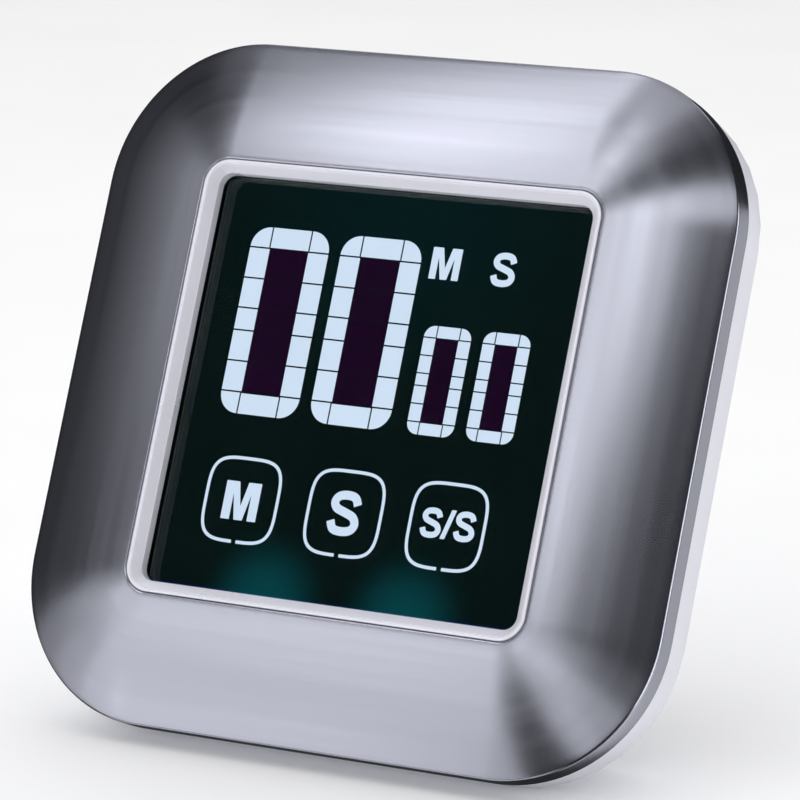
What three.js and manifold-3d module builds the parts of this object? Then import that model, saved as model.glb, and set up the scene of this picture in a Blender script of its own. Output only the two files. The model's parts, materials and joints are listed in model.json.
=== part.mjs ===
// A square countdown timer with a touch screen: a brushed metal front on a moulded rear cover, a lit
// liquid-crystal screen under glass, two AAA cells behind a hooked door, two magnets in the back, and a
// leg that props it up.
//
// Millimetres. Every piece is drawn in the case's own frame: X to the right of someone reading the screen,
// Y from the screen towards the back, Z up the face, with Y = 0 at the front edge of the case and Z = 0
// half-way up it. The case then leans back on its leg, and the finished group stands on Z = 0 with the
// middle of its footprint at the origin.

import * as THREE from "three";
import { mergeVertices } from "three/addons/utils/BufferGeometryUtils.js";
import Module from "manifold-3d";

// ---------------------------------------------------------------- driving dimensions

const caseSize = 90; // width and height of the case
const cornerRadius = 20; // of the case's outline, seen from the front
const lean = THREE.MathUtils.degToRad(23.3); // how far the case leans back when it stands on its leg

const frontRise = 3.95; // from the case's front edge up to the crest around the screen
const frontCrown = 0.75; // how far the front swells above a straight line from edge to crest
const edgeRadius = 0.6; // of the rolled front edge
const sheet = 0.8; // thickness of the metal front
const sideDepth = 3.4; // of the metal front's side wall

const screenSize = 53.6; // width and height of the visible glass
const screenRecess = 2.8; // from the crest down to the glass
const bevel = 1.08; // width and height of the polished bevel around the glass
const trimRidge = 0.5; // width of the fine ridge outside the bevel
const trimFlange = 3; // how far the trim reaches under the metal front
const glassLap = 1.8; // how far the glass runs under the trim on each side

const rearWall = 1.8; // thickness of the rear cover
const rearWallDepth = 4.6; // of the rear cover's upright side
const backInset = 7; // how far the flat back is smaller than the case on each side
const backEdge = 0.6; // rounding of the edge around the flat back

const cellDiameter = 10.5; // AAA
const cellLength = 44.5;
const springLength = 5.6; // of a contact spring with its cell in place
const doorThickness = 1.7;
const doorLedge = 0.9; // width of the ledge that the battery door lies on

const doorToHinge = 6.65; // from the battery door's foot down to the leg's hinge
const hingeDepth = 2; // of the hinge axis under the flat back
const legWidth = 31;
const legThickness = 2.6;
const pinRadius = 0.8;

const magnetRadius = 8;
const magnetThickness = 3;
const magnetCentre = [27, -12]; // x and z of the right-hand magnet

const switchZ = 34.6; // height of the power switch, up the face
const switchTravel = 3;
const switchToDoor = 4.25; // from the power switch down to the battery door's top edge

const gap = 0.1; // between pieces that touch
const fit = 0.25; // clearance around a piece that moves or drops into place
const layerGap = 0.05; // between the layers of the screen

// ---------------------------------------------------------------- dimensions that follow

const caseHalf = caseSize / 2;
const screenHalf = screenSize / 2;
const backHalf = caseHalf - backInset;
const crestHalf = screenHalf + bevel + trimRidge + gap; // window edge of the metal front
const crestY = -frontRise;
const glassY = crestY + screenRecess; // front of the glass
const trimHalf = screenHalf + bevel + trimRidge; // outside of the trim's collar
const glassHalf = screenHalf + glassLap;

// The screen's layers, front to back: thickness, and how much smaller than the glass each one is.
const layers = {
  touch_glass: { thickness: 1.1, inset: 0 },
  touch_film: { thickness: 0.15, inset: 0.4 },
  front_polariser: { thickness: 0.2, inset: 1.8 },
  lcd_cell: { thickness: 1.4, inset: 1.4 },
  rear_polariser: { thickness: 0.2, inset: 2.2 },
  diffuser_film: { thickness: 0.2, inset: 2.2 },
  light_guide: { thickness: 2, inset: 2.2 },
  reflector_film: { thickness: 0.15, inset: 2.2 },
};
let layerY = glassY;
for (const layer of Object.values(layers)) {
  layer.front = layerY;
  layer.back = layerY + layer.thickness;
  layerY = layer.back + layerGap;
}

const boardThickness = 1;
const boardY = layerY; // front of the circuit board
const boardBack = boardY + boardThickness;
const bayFloor = 1;
const bayFloorY = boardBack + 0.4; // front of the battery bay's floor
const cellY = bayFloorY + bayFloor + fit + cellDiameter / 2;
const cellPitch = cellDiameter + 0.3;
const bayHalfX = (cellLength + springLength) / 2 + 0.8;
const bayHalfZ = cellPitch / 2 + cellDiameter / 2 + 0.15;
const doorY = cellY + cellDiameter / 2 + fit; // inner face of the battery door
const backY = doorY + doorThickness + gap; // flat back of the case
const doorHalfX = bayHalfX + doorLedge - fit;
const doorHalfZ = bayHalfZ + doorLedge + 0.4 - fit;
const bayCentreZ = switchZ - switchToDoor - doorHalfZ; // middle of the battery bay, up the face
const cellZ = [bayCentreZ - cellPitch / 2, bayCentreZ + cellPitch / 2];
const hingeZ = bayCentreZ - doorHalfZ - doorToHinge;

const partingY = sideDepth + 2 * gap; // front of the rear cover
const rearHalf = caseHalf - 0.15;
const innerHalf = rearHalf - rearWall;
const innerBackY = backY - rearWall;
const taperY = partingY + rearWallDepth; // where the rear cover's side starts to run in

const skirtInner = glassHalf + 2 * gap; // inside of the carrier's skirt around the screen
const skirtOuter = skirtInner + 1.5;
const bossAt = backHalf - 6.5; // x and z of the case screws
const bossRadius = 3.2; // of the rear cover's screw posts
const carrierBoss = 2.9; // radius of the carrier's screw posts
const headSeat = 3; // from the front of a case screw's post to the seat of its head
const bayWall = 1.2; // around the battery bay
const boardScrewHead = 1.7;
const pillarAt = [
  Math.max(skirtOuter + 1.8, bayHalfX + bayWall + boardScrewHead + fit),
  14,
]; // x and z of the board's screws
const pillarRadius = 2.1;
const caseScrewHead = 2.1; // radius
const caseScrewShank = 1.05; // radius
const caseScrewLength = 6.4;
const boardScrewShank = 0.8; // radius
const boardScrewLength = 3.4;

const hingeY = backY - hingeDepth;
const recessFloorY = backY - hingeDepth - 2.2; // floor of the hollow that the leg folds into
const recessHalf = legWidth / 2 + fit;

const piezoZ = hingeZ - 18;
const piezoRadius = 10;
const discSeatY = recessFloorY - 1.6; // what the sounder's brass disc lies on
const discThickness = 0.3;
const soundHole = 0.8; // radius

// ---------------------------------------------------------------- materials

const finish = (color, roughness, metalness = 0) =>
  new THREE.MeshStandardMaterial({ color, roughness, metalness });
const brushedSteel = finish(0xb9bbc6, 0.35, 1);
const polishedSteel = finish(0xe8e8ee, 0.12, 1);
const silverAbs = finish(0xe2e2e8, 0.45);
const blackAbs = finish(0x17181a, 0.6);
const darkGlass = finish(0x04130f, 0.05);
const clearFilm = finish(0xcfd8d8, 0.3);
const polariserFilm = finish(0x1b2422, 0.3);
const acrylic = finish(0xe9f2f2, 0.1);
const whiteFilm = finish(0xf4f4f2, 0.5);
const foam = finish(0x1c1c1e, 0.9);
const circuitGreen = finish(0x1c5a36, 0.5);
const epoxy = finish(0x101012, 0.35);
const nickel = finish(0xc9c7c0, 0.3, 1);
const ferrite = finish(0x3a3a3e, 0.6);
const brass = finish(0xc9a24e, 0.3, 1);
const piezoCeramic = finish(0xe9e4d6, 0.5);
const cellSleeve = finish(0x2f6f8f, 0.35, 0.4);
const silicone = finish(0xd8c9b8, 0.6);
const redWire = finish(0xb01818, 0.45);
const blackWire = finish(0x141416, 0.45);

// ---------------------------------------------------------------- solids

const wasm = await Module();
wasm.setup();

/** A closed geometry as a manifold-3d solid. */
function solid(geometry) {
  const bare = geometry.clone();
  bare.deleteAttribute("normal");
  bare.deleteAttribute("uv");
  const merged = mergeVertices(bare, 1e-4);
  const vertProperties = merged.attributes.position.array;
  const triVerts = new Uint32Array(merged.index.array);
  return new wasm.Manifold(new wasm.Mesh({ numProp: 3, vertProperties, triVerts }));
}

/** A manifold-3d solid back as a geometry, with flat normals. */
function geometryOf(made) {
  const mesh = made.getMesh();
  const geometry = new THREE.BufferGeometry();
  geometry.setAttribute("position", new THREE.BufferAttribute(mesh.vertProperties, 3));
  geometry.setIndex(new THREE.BufferAttribute(mesh.triVerts, 1));
  const flat = geometry.toNonIndexed();
  flat.computeVertexNormals();
  return flat;
}

const cut = (body, tools) => tools.reduce((left, tool) => left.subtract(tool), body);
const join = (pieces) => pieces.reduce((whole, piece) => whole.add(piece));

/** A block from its lowest to its highest corner. */
function block([x0, y0, z0], [x1, y1, z1]) {
  const box = new THREE.BoxGeometry(x1 - x0, y1 - y0, z1 - z0);
  return solid(box.translate((x0 + x1) / 2, (y0 + y1) / 2, (z0 + z1) / 2));
}

/** A round bar along Y, from y0 to y1. */
function post(radius, y0, y1, x = 0, z = 0, sides = 24) {
  return solid(new THREE.CylinderGeometry(radius, radius, y1 - y0, sides).translate(x, (y0 + y1) / 2, z));
}

/** A round bar along X, from x0 to x1. */
function bar(radius, x0, x1, y, z, sides = 16) {
  const rod = new THREE.CylinderGeometry(radius, radius, x1 - x0, sides).rotateZ(Math.PI / 2);
  return solid(rod.translate((x0 + x1) / 2, y, z));
}

/** A rectangle with round corners, centred on (x, z), as a shape in the plane of the face. */
function roundedRectangle(halfX, halfZ, radius, x = 0, z = 0) {
  const shape = new THREE.Shape();
  shape.absarc(x + halfX - radius, z + halfZ - radius, radius, 0, Math.PI / 2);
  shape.absarc(x - halfX + radius, z + halfZ - radius, radius, Math.PI / 2, Math.PI);
  shape.absarc(x - halfX + radius, z - halfZ + radius, radius, Math.PI, 1.5 * Math.PI);
  shape.absarc(x + halfX - radius, z - halfZ + radius, radius, 1.5 * Math.PI, 2 * Math.PI);
  return shape;
}

/** A shape in the plane of the face, given depth from y0 to y1. */
function plate(shape, y0, y1, curveSegments = 6) {
  const flat = new THREE.ExtrudeGeometry(shape, { depth: y1 - y0, bevelEnabled: false, curveSegments });
  return flat.rotateX(Math.PI / 2).translate(0, y1, 0);
}

const leastCorner = 1.2;

/** The corner radius of a squared outline that runs parallel to the case's, given its half-width. */
const cornerAt = (half) => Math.min(half, Math.max(leastCorner, cornerRadius - caseHalf + half));

/**
 * A turned profile squared off to follow the case's outline. The points are [half-width, y], either way
 * round, and run from the axis back to the axis or, if none is on the axis, all the way round. Each quarter
 * of the turning moves out to its own corner, so the corner radius shrinks with the half-width, as it does
 * in parallel lines.
 */
function squaredTurning(points, cornerSteps = 8) {
  const closed = points[0][0] > 0 ? [...points, points[0]] : points;
  const area = closed.slice(1).reduce((sum, [r, y], i) => sum + closed[i][0] * y - r * closed[i][1], 0);
  const profile = area > 0 ? closed : [...closed].reverse();
  const perCorner = cornerSteps + 1;
  const steps = 4 * perCorner;
  const turned = new THREE.LatheGeometry(
    profile.map(([half, y]) => new THREE.Vector2(half, y)),
    steps,
  );
  const at = turned.attributes.position;
  for (let step = 0; step <= steps; step++) {
    const quarter = Math.floor((step % steps) / perCorner);
    const angle = (quarter + ((step % steps) % perCorner) / cornerSteps) * (Math.PI / 2);
    const sideX = quarter < 2 ? 1 : -1;
    const sideZ = quarter === 0 || quarter === 3 ? 1 : -1;
    profile.forEach(([half, y], point) => {
      const radius = cornerAt(half);
      const x = sideX * (half - radius) + radius * Math.sin(angle);
      const z = sideZ * (half - radius) + radius * Math.cos(angle);
      at.setXYZ(step * profile.length + point, x, y, z);
    });
  }
  return turned;
}

/** Points of an arc around (half, y), as [half-width, y] pairs. */
function arc(half, y, radius, from, to, steps) {
  return Array.from({ length: steps + 1 }, (_, i) => {
    const angle = from + ((to - from) * i) / steps;
    return [half + radius * Math.cos(angle), y + radius * Math.sin(angle)];
  });
}

// ---------------------------------------------------------------- the front

/** The front's swelling line from the case's edge to the crest, moved in by a sheet's thickness. */
function frontCurve(offset, steps) {
  const edge = new THREE.Vector2(caseHalf - edgeRadius / 2, edgeRadius * 0.14);
  const crest = new THREE.Vector2(crestHalf, crestY);
  const along = crest.clone().sub(edge).normalize();
  const out = new THREE.Vector2(-along.y, along.x);
  const middle = edge.clone().add(crest).multiplyScalar(0.5);
  const curve = new THREE.QuadraticBezierCurve(edge, middle.addScaledVector(out, 2 * frontCrown), crest);
  return curve.getPoints(steps).map((p) => [p.x, p.y + offset]);
}

/** The line under the metal front, or a clearance further in, from its side wall to its window. */
function underFront(clearance) {
  const side = caseHalf - sheet - clearance;
  const swell = frontCurve(sheet + clearance, 7).filter(([half]) => half < side - 1);
  return [[side, edgeRadius + sheet + clearance], ...swell];
}

/** Half-width of the squared outline that passes through (x, z). */
function halfThrough(x, z) {
  const core = caseHalf - cornerRadius;
  return Math.max(x, z, core + Math.hypot(Math.max(x - core, 0), Math.max(z - core, 0)));
}

/** Where a post standing at (x, z) starts, so that it ends inside the carrier's wall. */
function postStart(x, z, radius) {
  const half = halfThrough(x, z) + radius;
  return underFront(fit).findLast(([at]) => at >= half)[1];
}

function frontBezel() {
  return squaredTurning([
    [caseHalf, sideDepth],
    ...arc(caseHalf - edgeRadius, edgeRadius, edgeRadius, 0, -Math.PI / 3, 2),
    ...frontCurve(0, 7).slice(1),
    ...underFront(0).reverse(),
    [caseHalf - sheet, sideDepth],
  ]);
}

function screenTrim() {
  const wallFoot = glassY - 4 * gap;
  const bevelTop = screenHalf + bevel;
  const ridgeY = crestY - gap;
  const flangeY = wallFoot - 1.1;
  return squaredTurning([
    [screenHalf, wallFoot],
    [screenHalf, crestY + bevel],
    [bevelTop, crestY],
    [bevelTop + 0.07, crestY + 0.08],
    [bevelTop + 0.16, ridgeY],
    [trimHalf - 0.1, ridgeY],
    [trimHalf, crestY],
    [trimHalf, flangeY],
    [trimHalf + trimFlange, flangeY],
    [trimHalf + trimFlange, wallFoot],
  ]);
}

function glassGasket() {
  const y0 = glassY - 3.5 * gap;
  const y1 = glassY - layerGap;
  const inside = screenHalf + 0.3;
  return squaredTurning([
    [inside, y0],
    [glassHalf, y0],
    [glassHalf, y1],
    [inside, y1],
  ]);
}

/** The black frame behind the metal front: it holds the screen, and the screws go into it. */
function carrier() {
  const wall = 1.5;
  const tongue = innerHalf - fit;
  const tongueEnd = partingY + 2;
  const throat = trimHalf + trimFlange + fit;
  const shelfY = glassY - 3 * gap;
  const skirtEnd = boardY - gap;
  const swell = underFront(fit).filter(([half]) => half > throat);
  const under = swell.filter(([half]) => half > skirtOuter + 1 && half < tongue - wall);
  const profile = [
    ...swell,
    [throat, swell.at(-1)[1] - 0.05],
    [throat, shelfY],
    [skirtInner, shelfY],
    [skirtInner, skirtEnd],
    [skirtOuter, skirtEnd],
    [skirtOuter, under.at(-1)[1] + wall],
    ...under.reverse().map(([half, y]) => [half, y + wall]),
    [tongue - wall, sideDepth - 1.6],
    [tongue - wall, tongueEnd],
    [tongue, tongueEnd],
    [tongue, sideDepth - gap],
    [swell[0][0], sideDepth - gap],
  ];
  const shell = solid(squaredTurning(profile, 5));
  const bossStart = postStart(bossAt, bossAt, carrierBoss);
  const pillarStart = Math.max(postStart(...pillarAt, pillarRadius), shelfY);
  const caseHoleEnd = bayFloorY + headSeat - caseScrewLength - gap;
  const boardHoleEnd = boardBack - boardScrewLength - gap;
  const at = corners(bossAt, bossAt);
  const bosses = at.map(([x, z]) => post(carrierBoss, bossStart, bayFloorY - fit, x, z, 16));
  const pillars = corners(...pillarAt).map(([x, z]) => post(pillarRadius, pillarStart, skirtEnd, x, z, 12));
  const screwHoles = at.map(([x, z]) => post(caseScrewShank + gap, caseHoleEnd, bayFloorY + 1, x, z, 8));
  const boardHoles = corners(...pillarAt).map(([x, z]) =>
    post(boardScrewShank + gap, boardHoleEnd, boardY + 1, x, z, 8),
  );
  return geometryOf(cut(join([shell, ...bosses, ...pillars]), [...screwHoles, ...boardHoles]));
}

/** The four places (+-x, +-z), top right first and then clockwise. */
function corners(x, z) {
  return [
    [x, z],
    [x, -z],
    [-x, -z],
    [-x, z],
  ];
}

// ---------------------------------------------------------------- the screen

const zebraWidth = 1.6; // the rubber connector along the top of the LCD
const guideTop = glassHalf - 2.2 - zebraWidth; // the lit layers stop short of it
const ledX = 10;
const ledSize = [3.8, 1.1, 1];

/**
 * A square layer of the screen. The two outer layers' corners follow the carrier's, the others are nearly
 * sharp.
 */
function screenLayer({ front, back, inset }, top = glassHalf - inset) {
  const half = glassHalf - inset;
  const middle = (top - half) / 2;
  const radius = inset < 1 ? cornerAt(half) : 0.4;
  return plate(roundedRectangle(half, top - middle, radius, 0, middle), front, back, inset < 1 ? 5 : 1);
}

function lightGuide() {
  const { front, back } = layers.light_guide;
  const foot = -(glassHalf - layers.light_guide.inset);
  const notches = [-ledX, ledX].map((x) =>
    block(
      [x - ledSize[0] / 2 - gap, front - 1, foot - 1],
      [x + ledSize[0] / 2 + gap, back + 1, foot + ledSize[2] + 2 * gap],
    ),
  );
  return geometryOf(cut(solid(screenLayer(layers.light_guide, guideTop)), notches));
}

const backlightLed = () => new THREE.BoxGeometry(...ledSize);

function zebraStrip() {
  const front = layers.lcd_cell.back + layerGap;
  return new THREE.BoxGeometry(2 * (glassHalf - 4), boardY - layerGap - front, zebraWidth);
}

// ---------------------------------------------------------------- the circuit board

function mainBoard() {
  const wide = pillarAt[0] + pillarRadius + 0.4;
  const shoulder = bossAt - bossRadius - 1;
  const narrow = skirtOuter - 3;
  const tall = skirtOuter;
  const tongue = switchZ + 3.5;
  const outline = new THREE.Shape();
  outline.moveTo(wide, -shoulder);
  outline.lineTo(wide, shoulder);
  outline.lineTo(narrow, shoulder);
  outline.lineTo(narrow, tall);
  outline.lineTo(11, tall);
  outline.lineTo(11, tongue);
  outline.lineTo(-11, tongue);
  outline.lineTo(-11, tall);
  outline.lineTo(-narrow, tall);
  outline.lineTo(-narrow, shoulder);
  outline.lineTo(-wide, shoulder);
  outline.lineTo(-wide, -shoulder);
  outline.lineTo(-narrow, -shoulder);
  outline.lineTo(-narrow, -tall);
  outline.lineTo(narrow, -tall);
  outline.lineTo(narrow, -shoulder);
  for (const [x, z] of corners(...pillarAt)) {
    const hole = new THREE.Path();
    hole.absarc(x, z, 1.1, 0, 2 * Math.PI, true);
    outline.holes.push(hole);
  }
  return plate(outline, boardY, boardBack, 8);
}

/** The drop of black epoxy over the controller chip. */
function controllerBlob() {
  const radius = 6;
  const height = 1.6;
  const points = [new THREE.Vector2(0, 0), new THREE.Vector2(radius, 0)];
  for (let i = 1; i <= 4; i++) {
    const angle = (i / 4) * (Math.PI / 2);
    points.push(new THREE.Vector2(radius * Math.cos(angle), height * Math.sin(angle)));
  }
  return new THREE.LatheGeometry(points, 16);
}

/** A small outline chip with its legs, lying on the board. */
function touchChip() {
  const body = block([-3.1, 0.15, -2], [3.1, 1.65, 2]);
  const legs = [];
  for (let i = 0; i < 4; i++) {
    const x = -1.9 + i * 1.27;
    legs.push(block([x - 0.2, 0, -3], [x + 0.2, 0.4, 3]));
  }
  return geometryOf(join([body, ...legs]));
}

const crystalCan = () => plate(roundedRectangle(4.6, 1.7, 1.6), 0, 3.2, 4);

function boostInductor() {
  const coil = new THREE.LatheGeometry(
    [
      [0, 0],
      [3, 0],
      [3, 0.7],
      [2.3, 0.8],
      [2.3, 2.4],
      [3, 2.5],
      [3, 3.2],
      [0, 3.2],
    ].map(([r, y]) => new THREE.Vector2(r, y)),
    20,
  );
  return coil;
}

function capacitor() {
  const profile = [
    [0, 0],
    [2.5, 0],
    [2.5, 0.6],
    [2.3, 0.8],
    [2.5, 1],
    [2.5, 5],
    [2.3, 5.2],
    [0, 5.2],
  ];
  return new THREE.LatheGeometry(
    profile.map(([r, y]) => new THREE.Vector2(r, y)),
    20,
  );
}

// ---------------------------------------------------------------- the rear cover

const hookX = 15; // where the door's two hooks are
const hookHalf = 2.5;
const hookZ = bayCentreZ + doorHalfZ + 0.65; // the line that the door swings on
const hookY = doorY + 0.5;
const latchHalf = 5;
const switchSlot = [3.2, 1.7]; // half-sizes of the switch's slot
const soundHoles = [[0, 0]];
for (let i = 0; i < 6; i++) {
  soundHoles.push([4 * Math.cos((i * Math.PI) / 3), 4 * Math.sin((i * Math.PI) / 3)]);
}

function rearCoverShell() {
  const outside = [
    [0, backY],
    [backHalf - backEdge, backY],
    [backHalf, backY - backEdge * 0.6],
    [rearHalf - 0.75, taperY + 1],
    [rearHalf - 0.25, taperY],
    [rearHalf, partingY],
  ];
  const inside = [
    [innerHalf, partingY],
    [innerHalf - 0.25, taperY],
    [backHalf - rearWall * 0.9, innerBackY],
    [0, innerBackY],
  ];
  return solid(squaredTurning([...outside, ...inside]));
}

function rearCover() {
  const bayBox = (grow, y0, y1) =>
    block(
      [-bayHalfX - grow, y0, bayCentreZ - bayHalfZ - grow],
      [bayHalfX + grow, y1, bayCentreZ + bayHalfZ + grow],
    );
  const doorBox = block(
    [-doorHalfX - fit, doorY - gap, bayCentreZ - doorHalfZ - fit],
    [doorHalfX + fit, backY + 1, bayCentreZ + doorHalfZ + fit],
  );
  const doorFrame = block(
    [-doorHalfX - fit - 1, doorY - 1.3, bayCentreZ - doorHalfZ - fit - 1],
    [doorHalfX + fit + 1, innerBackY + 0.1, bayCentreZ + doorHalfZ + fit + 1],
  );
  const hookBlocks = [-hookX, hookX].map((x) =>
    block([x - hookHalf - 1, hookY - 1.9, hookZ - 1], [x + hookHalf + 1, innerBackY + 0.1, hookZ + 1.9]),
  );
  const hookSlots = [-hookX, hookX].map((x) =>
    block([x - hookHalf - fit, hookY - 0.8, hookZ - 1], [x + hookHalf + fit, hookY + 0.75, hookZ + 0.9]),
  );
  const latchZ = bayCentreZ - doorHalfZ - fit;
  const latchSlot = block(
    [-latchHalf - fit, doorY - gap, latchZ - 0.9],
    [latchHalf + fit, doorY + 0.9, latchZ + 0.1],
  );

  const recessTop = hingeZ + 3.5;
  const recess = block([-recessHalf, recessFloorY, -caseHalf], [recessHalf, backY + 1, recessTop]);
  const recessTray = block(
    [-recessHalf - 1.4, recessFloorY - 1.6, -caseHalf + 5],
    [recessHalf + 1.4, innerBackY + 0.1, recessTop + 1.2],
  );
  const restPads = [-1, 1].map((side) => {
    const inner = side * (recessHalf - 4);
    const outer = side * (recessHalf + 0.5);
    const low = [Math.min(inner, outer), recessFloorY - 0.5, legTipZ + 5];
    return block(low, [Math.max(inner, outer), hingeY + legInner - gap, legTipZ + 8]);
  });
  const pinLugs = [-1, 1].map((side) => {
    const inner = side * (recessHalf + 1);
    const outer = side * (recessHalf + 4);
    const low = [Math.min(inner, outer), hingeY - 2.4, hingeZ - 2.4];
    return block(low, [Math.max(inner, outer), innerBackY + 0.1, hingeZ + 2.4]);
  });
  const pinHole = bar(pinRadius + gap, -recessHalf - 3.2, recessHalf + 3.2, hingeY, hingeZ);
  const fingerScoop = bar(4, -7, 7, backY - 1.5, -backHalf - 3.5, 20);

  const seatWall = 1.6;
  const [magnetX, magnetZ] = magnetCentre;
  const seatFront = backY - magnetThickness - seatWall;
  const magnetSeats = [-magnetX, magnetX].map((x) =>
    post(magnetRadius + seatWall, seatFront, innerBackY + 0.1, x, magnetZ, 32),
  );
  const magnetPockets = [-magnetX, magnetX].map((x) =>
    post(magnetRadius + gap, backY - magnetThickness - gap, backY + 1, x, magnetZ, 32),
  );

  const slotShape = roundedRectangle(switchSlot[0] + 2.6, switchSlot[1] + 0.6, 1, 0, switchZ);
  const switchDish = solid(plate(slotShape, backY - 0.7, backY + 1, 3));
  const switchOpening = block(
    [-switchSlot[0] - 1.6, innerBackY - 1, switchZ - switchSlot[1] + 0.5],
    [switchSlot[0] + 1.6, backY, switchZ + switchSlot[1] - 0.5],
  );

  const at = corners(bossAt, bossAt);
  const headSeatY = bayFloorY + headSeat;
  const bosses = at.map(([x, z]) => post(bossRadius, bayFloorY, innerBackY + 0.1, x, z));
  const headWells = at.map(([x, z]) => post(caseScrewHead + 0.3, headSeatY, backY + 1, x, z));
  const shankHoles = at.map(([x, z]) => post(caseScrewShank + 0.3, bayFloorY - 1, headSeatY + 1, x, z, 12));

  const rim = 1.4; // of the seat around the sounder
  const piezoSeat = post(piezoRadius + rim, recessFloorY - 4.2, recessFloorY - 1, 0, piezoZ, 32);
  const piezoRoom = post(piezoRadius + gap, recessFloorY - 6, discSeatY, 0, piezoZ, 32);
  const grille = soundHoles.map(([x, z]) =>
    post(soundHole, recessFloorY - 4, recessFloorY + 1, x, piezoZ + z, 10),
  );
  const gate = [1.2, 1.6]; // half of a wire's way through the bay's end, front to back and up
  const wireGates = cellZ.map((z) =>
    block([-bayHalfX - 2, cellY - gate[0], z - gate[1]], [-bayHalfX + 1, cellY + gate[0], z + gate[1]]),
  );

  const added = [
    rearCoverShell(),
    bayBox(bayWall, bayFloorY, innerBackY + 0.1),
    doorFrame,
    ...hookBlocks,
    recessTray.intersect(solid(squaredTurning(outsideOnly()))),
    ...pinLugs,
    ...magnetSeats,
    ...bosses,
    piezoSeat,
  ];
  const removed = [
    bayBox(0, bayFloorY + bayFloor, backY + 1),
    doorBox,
    ...hookSlots,
    latchSlot,
    recess,
    pinHole,
    fingerScoop,
    ...magnetPockets,
    switchDish,
    switchOpening,
    ...headWells,
    ...shankHoles,
    piezoRoom,
    ...grille,
    ...wireGates,
  ];
  return geometryOf(join([cut(join(added), removed), ...restPads]));
}

/** The rear cover's outside, filled in: what the leg and its tray are trimmed to. */
function outsideOnly(shrink = 0) {
  return [
    [0, backY - shrink],
    [backHalf - backEdge, backY - shrink],
    [backHalf - shrink, backY - backEdge * 0.6 - shrink * 0.6],
    [rearHalf - 0.75 - shrink, taperY + 1],
    [rearHalf - 0.25 - shrink, taperY],
    [rearHalf - shrink, partingY],
    [0, partingY],
  ];
}

function batteryDoor() {
  const outline = roundedRectangle(doorHalfX, doorHalfZ, 0.8, 0, bayCentreZ);
  const panel = solid(plate(outline, doorY, backY - gap, 3));
  const topEdge = bayCentreZ + doorHalfZ;
  const chamfer = new THREE.BoxGeometry(2 * doorHalfX + 2, 2.2, 2.2).rotateX(Math.PI / 4);
  const relief = solid(chamfer.translate(0, backY - gap + 0.35, topEdge + 0.35));
  const hooks = [-hookX, hookX].map((x) =>
    block([x - hookHalf, hookY - 0.4, topEdge - 1.5], [x + hookHalf, hookY + 0.4, hookZ + 0.45]),
  );
  const lowEdge = bayCentreZ - doorHalfZ;
  const latch = block([-latchHalf, doorY + gap, lowEdge - 0.85], [latchHalf, doorY + 0.65, lowEdge + 1]);
  const slits = [-1, 1].map((side) => {
    const x = side * (latchHalf + 0.5);
    return block([x - 0.3, doorY - 1, lowEdge - 1], [x + 0.3, backY + 1, lowEdge + 5]);
  });
  const ridges = [0, 1, 2, 3].map((i) => {
    const z = lowEdge + 1.1 + i * 1.1;
    return block([-latchHalf + 1, backY - gap - 0.35, z], [latchHalf - 1, backY + 1, z + 0.5]);
  });
  return geometryOf(cut(join([panel.subtract(relief), ...hooks, latch]), [...slits, ...ridges]));
}

// ---------------------------------------------------------------- the leg

const legTipZ = -(backHalf + 1); // the leg's foot when folded, up the face
const legInner = hingeDepth - legThickness - gap; // inner face of the leg, from the hinge axis
const legOuter = hingeDepth - gap;
const footHeight = heightOf(rearHalf - 0.25, taperY, true);

/** The height above the table of a point in the case, measured from the case's own centre. */
function heightOf(z, y, below = false) {
  return (below ? -z : z) * Math.cos(lean) - y * Math.sin(lean);
}

/** How far the leg opens so that its tip and the case's lower edge stand on one level. */
const legOpen = (() => {
  const reach = Math.hypot(legInner, legTipZ - hingeZ);
  const tipAngle = Math.atan2(-legInner, hingeZ - legTipZ);
  const drop = heightOf(hingeZ, hingeY) - footHeight;
  return lean + tipAngle + Math.acos(drop / reach);
})();

/** How far the heel stands above the hinge: open, it meets the hollow's floor and stops the leg. */
const heelHeight = (() => {
  const room = hingeY - recessFloorY - gap;
  return (room + legInner * Math.cos(legOpen)) / Math.sin(legOpen);
})();

/** The leg about its hinge axis, folded flat, with its lower end trimmed to the slope of the case. */
function standLeg() {
  const half = legWidth / 2;
  const slab = block([-half, legInner, legTipZ - hingeZ], [half, legOuter, 0]);
  const barrel = bar(legOuter, -half, half, 0, 0, 20);
  const heel = block([-half, legInner, 0], [half, legInner + 1.6, heelHeight]);
  const followsCase = solid(squaredTurning(outsideOnly(gap)).translate(0, -hingeY, -hingeZ));
  const pinHole = bar(pinRadius + gap, -legWidth, legWidth, 0, 0, 12);
  const panel = solid(plate(roundedRectangle(half - 6, 9, 3, 0, -20), legOuter - 0.7, legOuter + 1, 4));
  return geometryOf(cut(join([slab, barrel, heel]).intersect(followsCase), [pinHole, panel]));
}

// ---------------------------------------------------------------- cells, contacts, wires and screws

function cell() {
  const r = cellDiameter / 2;
  const nub = 0.8;
  const profile = [
    [0, 0],
    [r - 1.2, 0],
    [r - 0.6, 0.3],
    [r, 0.6],
    [r, cellLength - nub - 0.5],
    [r - 0.5, cellLength - nub],
    [1.9, cellLength - nub],
    [1.9, cellLength],
    [0, cellLength],
  ];
  return new THREE.LatheGeometry(
    profile.map(([radius, y]) => new THREE.Vector2(radius, y)),
    20,
  );
}

const contactSheet = 0.4;
const cellEnd = bayHalfX - contactSheet - 2 * gap; // how far out the cells' positive ends lie

/** A flat contact standing against the end of the bay, [height, width] about its middle. */
function contactPlate(height) {
  return new THREE.BoxGeometry(contactSheet, cellDiameter * 0.7, height);
}

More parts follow.
